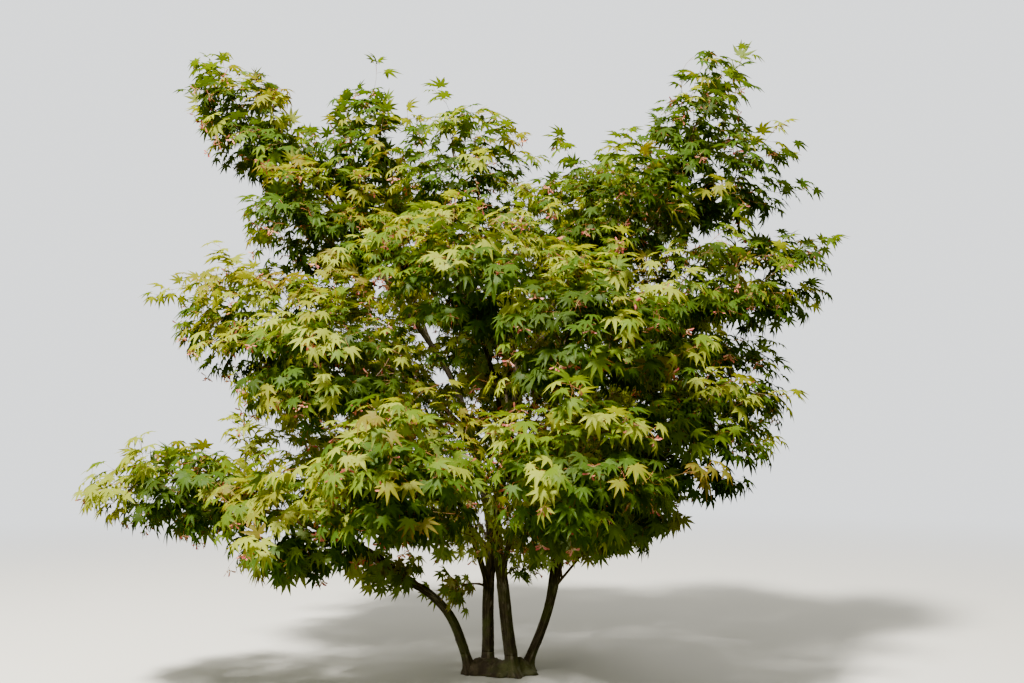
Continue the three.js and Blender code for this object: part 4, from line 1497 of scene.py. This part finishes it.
    def _blades(self, leaves: LeafSet, shape: LeafShape) -> Skin:
        """Makes the blades.

        In a leaf's own frame a point at angle a and distance r lies at x = r cos a, y = r sin a and
        z = fold (1 - rib) r - droop r^2, and the angles are spread a little more or less.

        Args:
            leaves: the leaves.
            shape: their shape.

        Returns:
            One skin with a map "blade": how near the rib, and the share along the lobe.
        """
        rules, random = self.rules, np.random.default_rng(self.rules.seed + len(leaves.reach))
        angle, reach, marks, faces = shape.template()
        count = len(leaves.reach)
        spread = random.uniform(0.86, 1.06, (count, 1))
        droop = random.uniform(*rules.droop, (count, 1)) + 0.1 * (random.uniform(size=(count, 1)) > 0.8)
        fold = random.uniform(*rules.fold, (count, 1))
        lobes = 1 + random.normal(0, 0.045, (count, len(angle)))
        turned = angle * spread
        x, y = reach * lobes * np.cos(turned), reach * lobes * np.sin(turned)
        z = fold * (1 - marks[:, 0]) * reach * 3 - droop * reach**2
        side = np.cross(leaves.normal, leaves.along)
        local = np.stack([x, y, z], -1) * leaves.reach[:, None, None]
        axes = np.stack([leaves.along, side, leaves.normal], 1)
        points = leaves.base[:, None] + local @ axes
        shade = np.round(random.uniform(0, SHADES, (count, 1)))
        u = marks[None, :, 0] * 0.9 + 0.05 + shade
        blade = np.stack([u, np.broadcast_to(marks[None, :, 1], u.shape)], -1)
        return Skin.repeat(points, [faces], "blade", blade)

    def _stalks(self, large: LeafSet, small: LeafSet, finishes: Finishes) -> None:
        """Makes the leaf stalks, a little thinner at the blade, and mere spikes for small leaves."""
        thick = self.rules.stalk_radius
        ends = np.stack([large.node, large.base], 1)
        stalks = rods(ends, np.tile([thick, thick * 0.8], (len(ends), 1)), 3)
        thin = spikes(small.node, small.base, thick)
        Skin.join([stalks, thin]).piece("leaf_stalks", finishes.stalk, self.nodes, "foliage")


@dataclass(frozen=True)
class SeedSizes:
    """Winged seeds, in pairs on thin stalks, in metres."""

    share: float = 0.24  # the share of the twigs that carry a bunch
    lean: float = 0.3  # by how much that falls a metre to the right, as a share of itself
    depth: float = 0.45  # how far out in its mass a bunch hangs at least
    pairs: int = 3  # pairs in a bunch
    stem: float = 0.032  # length of a bunch's stalk
    stalk: float = 0.018  # length of a pair's own stalk
    radius: float = 0.55 * MM  # the stalks' radius
    wing: float = 0.027  # a wing's length
    width: float = 0.0085  # its greatest width
    nut: float = 0.0032  # the seed's radius
    spread: Pair = (48, 78)  # the least and greatest angle between a wing and the stalk's line, in degrees
    seed: int = 6007  # the seed of everything about them


@dataclass
class Seeds:
    """The winged seeds of the crown: their sizes, the twigs that carry them, the solids' box."""

    sizes: SeedSizes
    twigs: Twigs
    box: Box

    def build(self, finishes: Finishes, nodes: list[str]) -> None:
        """Makes the seeds and their stalks as two pieces.

        Args:
            finishes: the materials.
            nodes: the CAD nodes of the masses.
        """
        sizes, twigs = self.sizes, self.twigs
        random = np.random.default_rng(sizes.seed)
        share = sizes.share * (1 - sizes.lean * twigs.end[:, 0])
        picked = (random.uniform(size=len(share)) < share) & (twigs.depth() > sizes.depth)
        picked &= (twigs.parent >= 0) & inside(twigs.end, self.box, sizes.stem + sizes.wing)
        node = twigs.end[picked]
        out = outward(twigs.mass[picked], node)
        count = len(node)
        hang = unit(-0.8 * UP + 0.7 * out + random.normal(0, 0.3, (count, 3)))
        fork = node + hang * sizes.stem * random.uniform(0.7, 1.3, (count, 1))
        shape = (count, sizes.pairs, 3)
        way = unit(hang[:, None] - 0.35 * UP + random.normal(0, 0.5, shape))
        middle = fork[:, None] + way * sizes.stalk * random.uniform(0.8, 1.2, (count, sizes.pairs, 1))
        own = np.stack([np.broadcast_to(fork[:, None], shape), middle], 2).reshape(-1, 2, 3)
        lines = np.concatenate([np.stack([node, fork], 1), own])
        stalks = rods(lines, np.full(lines.shape[:2], sizes.radius), 3)
        stalks.piece("seed_stalks", finishes.stalk, nodes, "foliage")
        wings = self._wings(middle.reshape(-1, 3), way.reshape(-1, 3), random)
        wings.piece("winged_seeds", finishes.seed, nodes, "foliage")

    def _wings(self, middle: Array, way: Array, random: Random) -> Skin:
        """Makes pairs of wings, each a bent blade that starts at a small nut.

        A wing's points lie at shares of its length along its line and of its width across it.

        Args:
            middle: where the pairs hang.
            way: the direction of their stalks.
            random: the seeded numbers.

        Returns:
            One skin with a map "wing": the share along the wing and across it.
        """
        sizes = self.sizes
        outline = np.array(
            [[0.0, 0.1, 0.0], [0.16, 0.36, 0.03], [0.5, 0.6, 0.04], [0.85, 0.62, 0.02], [1.0, 0.2, 0.0]]
            + [[0.9, -0.22, 0.0], [0.5, -0.12, 0.02], [0.14, -0.3, 0.03]]
        )
        blade = [[0, 7, 1], [1, 7, 6], [1, 6, 2], [2, 6, 5], [2, 5, 3], [3, 5, 4]]
        nut = np.array([[0, 0, 1], [1, 0, 0], [0, 1, 0], [-1, 0, 0], [0, -1, 0], [0, 0, -1]], dtype=float)
        shell = [[0, 1, 2], [0, 2, 3], [0, 3, 4], [0, 4, 1], [5, 2, 1], [5, 3, 2], [5, 4, 3], [5, 1, 4]]
        count = len(middle)
        side = square_to(random.normal(size=(count, 3)), way)
        normal = np.cross(way, side)
        skins = []
        for sign in (-1.0, 1.0):
            lean = np.radians(random.uniform(*sizes.spread, (count, 1)))
            line = way * np.cos(lean) + side * np.sin(lean) * sign
            across = np.cross(normal, line) * -sign
            axes = np.stack([line, across, normal], 1)
            local = outline * [sizes.wing, sizes.width, sizes.wing]
            points = middle[:, None] + local[None] @ axes + line[:, None] * sizes.nut
            tris = np.array(blade) if sign < 0 else np.array(blade)[:, ::-1]
            mapped = np.broadcast_to(outline[None, :, :2], (count, len(outline), 2))
            skins.append(Skin.repeat(points, [tris], "wing", mapped))
            pips = (middle + line * sizes.nut)[:, None] + nut[None] * sizes.nut * 0.8
            skins.append(Skin.repeat(pips, [np.array(shell)], "wing", np.zeros((count, len(nut), 2))))
        return Skin.join(skins)


# Finishes

# How many steps of shade the leaves' map holds.
SHADES = 9.0


def colour(code: str) -> tuple[float, float, float, float]:
    """Returns a display colour such as "8fa64a" as the linear colour that shaders take."""
    parts = [int(code[k : k + 2], 16) / 255 for k in (0, 2, 4)]
    linear = [c / 12.92 if c <= 0.04045 else ((c + 0.055) / 1.055) ** 2.4 for c in parts]
    return (*linear, 1.0)


class Graph:
    """A node tree under construction, with short calls for the nodes that are used most."""

    def __init__(self, tree: bpy.types.NodeTree) -> None:
        """Keeps the tree."""
        self.tree = tree

    def node(self, kind: str, **values: object) -> bpy.types.Node:
        """Adds a node and sets its properties and inputs.

        Args:
            kind: the node's type.
            values: properties by name, and inputs by name with blanks as underscores.

        Returns:
            The node.
        """
        made = self.tree.nodes.new(kind)
        for name, value in values.items():
            if hasattr(made, name) and name != "inputs":
                setattr(made, name, value)
            else:
                self.set(made.inputs[name.replace("_", " ")], value)
        return made

    def set(self, socket: Socket, value: object) -> None:
        """Links a socket to another, or sets its value."""
        if isinstance(value, bpy.types.NodeSocket):
            self.tree.links.new(value, socket)
        else:
            socket.default_value = value

    def math(self, operation: str, *values: object) -> Socket:
        """Adds a Math node and returns its output."""
        made = self.node("ShaderNodeMath", operation=operation)
        for socket, value in zip(made.inputs, values):
            self.set(socket, value)
        return made.outputs[0]

    def times(self, first: object, second: object) -> Socket:
        """Returns the product of two values."""
        return self.math("MULTIPLY", first, second)

    def ramp(self, value: Socket, low: float, high: float) -> Socket:
        """Returns 0 below low, 1 above high and a smooth rise between them."""
        values = {"Value": value, "From_Min": low, "From_Max": high}
        made = self.node("ShaderNodeMapRange", interpolation_type="SMOOTHSTEP", **values)
        return made.outputs["Result"]

    def mix(self, share: object, first: object, second: object) -> Socket:
        """Adds a colour Mix node and returns its output."""
        made = self.node("ShaderNodeMix", data_type="RGBA")
        self.set(made.inputs[0], share)
        self.set(made.inputs[6], first)
        self.set(made.inputs[7], second)
        return made.outputs[2]

    def noise(self, vector: Socket, scale: float, detail: float, roughness: float = 0.55) -> Socket:
        """Adds a Noise Texture and returns its grey value."""
        values = {"Vector": vector, "Scale": scale, "Detail": detail, "Roughness": roughness}
        return self.node("ShaderNodeTexNoise", **values).outputs["Fac"]

    def place(self) -> Socket:
        """Returns the place on the object, in metres."""
        return self.node("ShaderNodeTexCoord").outputs["Object"]

    def on_map(self, name: str) -> bpy.types.NodeOutputs:
        """Returns the two numbers of a map as the outputs X and Y."""
        place = self.node("ShaderNodeUVMap", uv_map=name).outputs["UV"]
        return self.node("ShaderNodeSeparateXYZ", Vector=place).outputs

    def group(self, name: str, codes: tuple[str, ...], amount: float) -> bpy.types.NodeOutputs:
        """Adds a shared effect with its display colours and its amount, and returns its outputs."""
        made = self.node("ShaderNodeGroup", node_tree=bpy.data.node_groups[name])
        for socket, value in zip(made.inputs, [*map(colour, codes), amount]):
            socket.default_value = value
        return made.outputs

    def body(self, tone: Socket, rough: object, height: Socket, bump: Pair, **more: float) -> Socket:
        """Adds a Principled shader with a relief and returns its output.

        Args:
            tone: its base colour.
            rough: its roughness.
            height: the relief's height.
            bump: the relief's strength, and its depth in metres.
            more: other inputs by name.
        """
        relief = self.node("ShaderNodeBump", Strength=bump[0], Distance=bump[1], Height=height)
        values = {"Base_Color": tone, "Roughness": rough, "Normal": relief.outputs["Normal"], **more}
        return self.node("ShaderNodeBsdfPrincipled", **values).outputs["BSDF"]

    def blend(self, share: object, first: Socket, second: Socket) -> Socket:
        """Adds a Mix Shader node and returns its output."""
        made = self.node("ShaderNodeMixShader", Fac=share)
        self.set(made.inputs[1], first)
        self.set(made.inputs[2], second)
        return made.outputs["Shader"]

    def thin(self, tone: Socket) -> Socket:
        """Adds a Translucent shader and returns its output."""
        return self.node("ShaderNodeBsdfTranslucent", Color=tone).outputs["BSDF"]


class Finish:
    """What a piece is finished with."""

    def material(self, name: str) -> Material:
        """Makes a material of the finish.

        Args:
            name: the material's name.

        Returns:
            The material.
        """
        made = bpy.data.materials.new(name)
        made.use_nodes = True
        made.node_tree.nodes.clear()
        graph = Graph(made.node_tree)
        graph.node("ShaderNodeOutputMaterial", Surface=self.surface(graph))
        return made

    def surface(self, graph: Graph) -> Socket:
        """Returns the surface's shader, drawn into a material's graph."""
        raise NotImplementedError


def new_group(name: str, colours: tuple[str, ...], amount: str, values: tuple[str, ...]) -> tuple:
    """Makes a shader node group that puts out a colour and some values.

    Args:
        name: the group's name.
        colours: the colours that it takes.
        amount: the number that it takes after them.
        values: what it puts out after its colour: "Through" as a colour, the rest as numbers.

    Returns:
        The group's graph, the sockets that it takes and its output node's inputs.
    """
    tree = bpy.data.node_groups.new(name, "ShaderNodeTree")
    for label in colours:
        tree.interface.new_socket(label, in_out="INPUT", socket_type="NodeSocketColor")
    tree.interface.new_socket(amount, in_out="INPUT", socket_type="NodeSocketFloat")
    for label in ("Colour", *values):
        kind = "NodeSocketColor" if label in ("Colour", "Through") else "NodeSocketFloat"
        tree.interface.new_socket(label, in_out="OUTPUT", socket_type=kind)
    graph = Graph(tree)
    return graph, graph.node("NodeGroupInput").outputs, graph.node("NodeGroupOutput").inputs


def draw_blade_group() -> None:
    """Draws the effect of a leaf's colours: shade from leaf to leaf, pale ribs, tinted rim and tips."""
    colours = ("Blade", "Shade", "Rib", "Rim")
    graph, start, end = new_group("leaf_blade", colours, "Rim Amount", ("Through", "Height"))
    blade = graph.on_map("blade")
    whole = graph.math("FLOOR", blade["X"])
    rib = graph.math("SUBTRACT", blade["X"], whole)
    own = graph.math("DIVIDE", whole, SHADES)
    spray = graph.ramp(graph.noise(graph.place(), 5.0, 2.0), 0.35, 0.65)
    shade = graph.math("ADD", graph.times(own, 0.65), graph.times(spray, 0.35))
    base = graph.mix(shade, start["Blade"], start["Shade"])
    tip = graph.ramp(blade["Y"], 0.5, 1.1)
    edge = graph.math("SUBTRACT", 1.0, graph.ramp(rib, 0.06, 0.34))
    tint = graph.times(graph.math("MAXIMUM", graph.times(edge, 0.6), tip), own)
    tint = graph.times(tint, start["Rim Amount"])
    rimmed = graph.mix(tint, base, start["Rim"])
    vein = graph.ramp(rib, 0.86, 0.95)
    graph.set(end["Colour"], graph.mix(graph.times(vein, 0.5), rimmed, start["Rib"]))
    glow = graph.node("ShaderNodeHueSaturation", Hue=0.485, Saturation=1.25, Value=1.5, Color=rimmed)
    graph.set(end["Through"], glow.outputs["Color"])
    graph.set(end["Height"], graph.math("SUBTRACT", 0.0, vein))


def draw_bark_group() -> None:
    """Draws the effect of bark's colours: streaks along the limb, pale patches, green film low down."""
    colours = ("Bark", "Streak", "Patch", "Film")
    graph, start, end = new_group("bark", colours, "Film Amount", ("Roughness", "Height"))
    ring, line = graph.on_map("round"), graph.on_map("along")

    def wrapped(around: float, along: float) -> Socket:
        """Returns coordinates that run round the limb and along it at their own scales."""
        across, over = (graph.times(ring[axis], around) for axis in "XY")
        up = graph.times(line["X"], along)
        return graph.node("ShaderNodeCombineXYZ", X=across, Y=over, Z=up).outputs["Vector"]

    streak = graph.ramp(graph.noise(wrapped(3.2, 9.0), 1.0, 6.0, 0.62), 0.42, 0.64)
    grain = graph.noise(wrapped(9.0, 45.0), 1.0, 5.0, 0.6)
    patch = graph.ramp(graph.noise(wrapped(1.7, 16.0), 1.0, 4.0, 0.5), 0.56, 0.68)
    pores = graph.node("ShaderNodeTexVoronoi", Vector=wrapped(4.0, 130.0), Scale=1.0)
    pore = graph.math("SUBTRACT", 1.0, graph.ramp(pores.outputs["Distance"], 0.08, 0.2))
    place = graph.place()
    height = graph.node("ShaderNodeSeparateXYZ", Vector=place).outputs["Z"]
    low = graph.math("SUBTRACT", 1.0, graph.ramp(height, 0.1, 1.1))
    film = graph.times(graph.ramp(graph.noise(place, 9.0, 4.0), 0.4, 0.66), low)
    film = graph.times(film, start["Film Amount"])
    base = graph.mix(streak, start["Bark"], start["Streak"])
    base = graph.mix(graph.times(patch, 0.55), base, start["Patch"])
    base = graph.mix(film, base, start["Film"])
    base = graph.mix(graph.times(pore, 0.4), base, start["Patch"])
    dark = graph.math("ADD", 0.6, graph.times(grain, 0.8))
    toned = graph.node("ShaderNodeHueSaturation", Color=base, Value=dark)
    graph.set(end["Colour"], toned.outputs["Color"])
    graph.set(end["Roughness"], graph.math("SUBTRACT", 0.95, graph.times(patch, 0.2)))
    relief = graph.math("ADD", graph.times(grain, 0.7), graph.times(streak, 0.3))
    graph.set(end["Height"], graph.math("ADD", relief, graph.times(pore, 0.35)))


@dataclass(frozen=True)
class LeafFinish(Finish):
    """A tone of leaf: display colours of blade, shade, rib and rim, and how much rim shows."""

    blade: str  # the commonest colour
    shade: str  # the colour that it varies towards
    rib: str  # the ribs
    rim: str  # rim and tips
    rim_amount: float  # how strongly rim and tips are tinted
    glow: float = 0.38  # the share of light that passes through
    back: str = "a4ac7c"  # what the blade pales towards underneath

    def surface(self, graph: Graph) -> Socket:
        """Returns the shader of a satin blade that lets light through and is paler underneath."""
        blade = graph.group("leaf_blade", (self.blade, self.shade, self.rib, self.rim), self.rim_amount)
        under = graph.node("ShaderNodeNewGeometry").outputs["Backfacing"]
        face = graph.mix(under, blade["Colour"], graph.mix(0.25, blade["Colour"], colour(self.back)))
        satin = graph.body(face, 0.5, blade["Height"], (0.35, 0.0006), Specular_IOR_Level=0.15)
        return graph.blend(self.glow, satin, graph.thin(blade["Through"]))


@dataclass(frozen=True)
class BarkFinish(Finish):
    """Bark: display colours of the ground tone, streaks, pale patches and green film."""

    bark: str  # the ground tone
    streak: str  # the streaks along the limb
    patch: str  # the pale patches and pores
    film: str  # the green film
    film_amount: float  # how much of it grows low down
    bump: float  # how deep the fine grain is

    def surface(self, graph: Graph) -> Socket:
        """Returns the shader of dull bark with fine grain."""
        bark = graph.group("bark", (self.bark, self.streak, self.patch, self.film), self.film_amount)
        return graph.body(bark["Colour"], bark["Roughness"], bark["Height"], (0.8, self.bump))


@dataclass(frozen=True)
class RodFinish(Finish):
    """Twigs and stalks: two display colours that change from rod to rod and along each."""

    first: str
    second: str
    tip: str
    roughness: float = 0.6

    def surface(self, graph: Graph) -> Socket:
        """Returns the shader of a mottled skin whose tip takes on another colour."""
        run = graph.on_map("along")
        mottle = graph.ramp(graph.noise(graph.place(), 90.0, 3.0), 0.35, 0.65)
        own = graph.times(graph.math("ADD", run["X"], mottle), 0.5)
        base = graph.mix(own, colour(self.first), colour(self.second))
        tone = graph.mix(graph.ramp(run["Y"], 0.4, 1.0), base, colour(self.tip))
        return graph.body(tone, self.roughness, mottle, (0.4, 0.0005))


@dataclass(frozen=True)
class SeedFinish(Finish):
    """Winged seeds: pink to red wings that pale towards the nut."""

    wing: str = "d8866a"
    pale: str = "dcb98a"
    rim: str = "cc5a60"

    def surface(self, graph: Graph) -> Socket:
        """Returns the shader of a thin wing that lets some light through."""
        place = graph.place()
        spot = graph.ramp(graph.noise(place, 40.0, 2.0), 0.4, 0.6)
        wing = graph.mix(spot, colour(self.wing), colour(self.rim))
        tone = graph.mix(graph.ramp(graph.on_map("wing")["X"], 0.05, 0.5), colour(self.pale), wing)
        skin = graph.body(tone, 0.45, graph.noise(place, 900.0, 2.0), (0.3, 0.0003))
        return graph.blend(0.3, skin, graph.thin(tone))


# The leaves' tones: sprays are dealt them by light, so the pale ones are painted light and the green and
# deep ones painted shade.
LEAF_FINISHES = {
    Tone.PALE: LeafFinish("a0aa3c", "8a9632", "bcc068", "b08c46", 0.35),
    Tone.FRESH: LeafFinish("6a821a", "546e16", "909c40", "986e2c", 0.4),
    Tone.GOLDEN: LeafFinish("8c8e26", "767e20", "a8a250", "ac682a", 0.55),
    Tone.GREEN: LeafFinish("486418", "3c5814", "72883c", "7c6426", 0.35),
    Tone.DEEP: LeafFinish("405618", "364a12", "5e7232", "5a501e", 0.3),
    Tone.BRONZE: LeafFinish("827628", "727626", "9c8c4e", "a04c2c", 0.8),
}


OLD_BARK = BarkFinish("3e362c", "5a5142", "877f6c", "50582e", 0.6, 1.4 * MM)
YOUNG_BARK = BarkFinish("443a2e", "625742", "8a816a", "5c6034", 0.4, 0.8 * MM)


class Finishes:
    """All materials of the tree, made once."""

    def __init__(self) -> None:
        """Makes the materials."""
        draw_blade_group()
        draw_bark_group()
        self.leaf = {tone: f.material(f"leaf_{tone.value}") for tone, f in LEAF_FINISHES.items()}
        self.old_bark = OLD_BARK.material("bark_old")
        self.young_bark = YOUNG_BARK.material("bark_young")
        self.twig = RodFinish("54453a", "6e5a46", "6a4a38", 0.75).material("twig_wood")
        self.shoot = RodFinish("6e4a38", "7c6a3c", "a04c38", 0.6).material("shoot_skin")
        self.stalk = RodFinish("b0503c", "a8924a", "c05a48", 0.5).material("stalk_skin")
        self.seed = SeedFinish().material("seed_wing")


# Stage


@dataclass(frozen=True)
class Lamp:
    """A square area light that faces the middle of the crown."""

    name: str
    place: Triple
    size: float
    power: float
    tint: Triple

    def build(self) -> None:
        """Makes the light."""
        lamp = bpy.data.lights.new(self.name, "AREA")
        lamp.size, lamp.energy, lamp.color = self.size, self.power, self.tint
        made = put(self.name, lamp)
        made.location = self.place
        aim = Vector(CROWN_MIDDLE) - Vector(self.place)
        made.rotation_euler = aim.to_track_quat("-Z", "Y").to_euler()


LAMPS = (
    Lamp("key", (-3.6, -6.6, 11.5), 1.6, 10800.0, (1.0, 0.965, 0.88)),
    Lamp("fill", (-7.0, -6.0, 1.8), 4.0, 360.0, (1.0, 0.97, 0.88)),
    Lamp("back", (2.5, 7.5, 8.0), 4.0, 600.0, (1.0, 0.98, 0.92)),
)


# The background's display colour, and how bright it is to the camera.
BACKDROP = "e9ecee"
BACKDROP_SEEN = 3.4


@dataclass(frozen=True)
class FloorFinish(Finish):
    """A floor that is pale and matt, and far out as bright as the background.

    It throws little light back at the tree, so that the shade under the sprays stays deep.
    """

    matt: str = "dcdad4"  # its colour
    bounce: str = "5c6048"  # its colour for the light that it throws back
    fade: Pair = (2.5, 11.0)  # how far out it starts to take on the background's tone, and where it has it

    def surface(self, graph: Graph) -> Socket:
        """Returns the shader of the matt floor, mixed outward with the background's glow."""
        seen = graph.node("ShaderNodeLightPath").outputs["Is Camera Ray"]
        tone = graph.mix(seen, colour(self.bounce), colour(self.matt))
        matt = graph.node("ShaderNodeBsdfDiffuse", Color=tone).outputs["BSDF"]
        away = graph.node("ShaderNodeVectorMath", operation="LENGTH")
        graph.set(away.inputs[0], graph.place())
        share = graph.times(graph.ramp(away.outputs["Value"], *self.fade), seen)
        glow = graph.node("ShaderNodeEmission", Color=colour(BACKDROP), Strength=BACKDROP_SEEN)
        return graph.blend(share, matt, glow.outputs["Emission"])


@dataclass(frozen=True)
class Stage:
    """Pale floor, soft light and the camera."""

    eye: Triple = (0.065, -5.2, 1.2)  # the camera's place
    pitch: float = 4.94  # how far it looks up, in degrees
    lens: float = 36.0  # its focal length in millimetres, on a sensor 36 mm wide
    floor: float = 40.0  # half the floor's size
    ambient: float = 0.95  # how bright the background is as a light
    ambient_tint: str = "ecebdf"  # its colour as a light

    def build(self) -> None:
        """Makes floor, lights, world and camera."""
        self._floor()
        self._world()
        for lamp in LAMPS:
            lamp.build()
        self._camera()
        bpy.context.scene.view_settings.look = "AgX - Punchy"

    def _floor(self) -> None:
        """Makes a level pale floor."""
        mesh = bpy.data.meshes.new("floor")
        s = self.floor
        mesh.from_pydata([(-s, -s, 0), (s, -s, 0), (s, s, 0), (-s, s, 0)], [], [(0, 1, 2, 3)])
        mesh.materials.append(FloorFinish().material("floor_matt"))
        put("floor", mesh)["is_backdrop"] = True

    def _world(self) -> None:
        """Lights the scene faintly from all round, and shows the camera a pale background."""
        world = bpy.data.worlds.new("studio")
        bpy.context.scene.world = world
        world.use_nodes = True
        world.node_tree.nodes.clear()
        graph = Graph(world.node_tree)
        seen = graph.node("ShaderNodeLightPath").outputs["Is Camera Ray"]
        more = graph.times(seen, BACKDROP_SEEN - self.ambient)
        tint = graph.mix(seen, colour(self.ambient_tint), colour(BACKDROP))
        strength = graph.math("ADD", self.ambient, more)
        back = graph.node("ShaderNodeBackground", Color=tint, Strength=strength)
        graph.node("ShaderNodeOutputWorld", Surface=back.outputs["Background"])

    def _camera(self) -> None:
        """Makes the camera at the photograph's viewing angle."""
        lens = bpy.data.cameras.new("camera")
        lens.lens, lens.sensor_width, lens.clip_end = self.lens, 36.0, 200.0
        made = put("camera", lens)
        made.location = self.eye
        made.rotation_euler = (math.radians(90 + self.pitch), 0.0, 0.0)
        bpy.context.scene.camera = made


def main() -> None:
    """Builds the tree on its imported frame, and the stage round it."""
    logging.basicConfig(level=logging.INFO, format="%(name)s: %(message)s")
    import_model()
    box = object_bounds()
    finishes = Finishes()
    framework = Framework(LimbRules())
    Wood(framework, RootSizes(), BarkRelief()).build(finishes.old_bark, finishes.young_bark)
    room = np.array(box[0]), np.array(box[1])
    Foliage(Crown(framework, TwigRules(), room), LeafRules()).build(finishes)
    Stage().build()


if __name__ == "__main__":
    main()
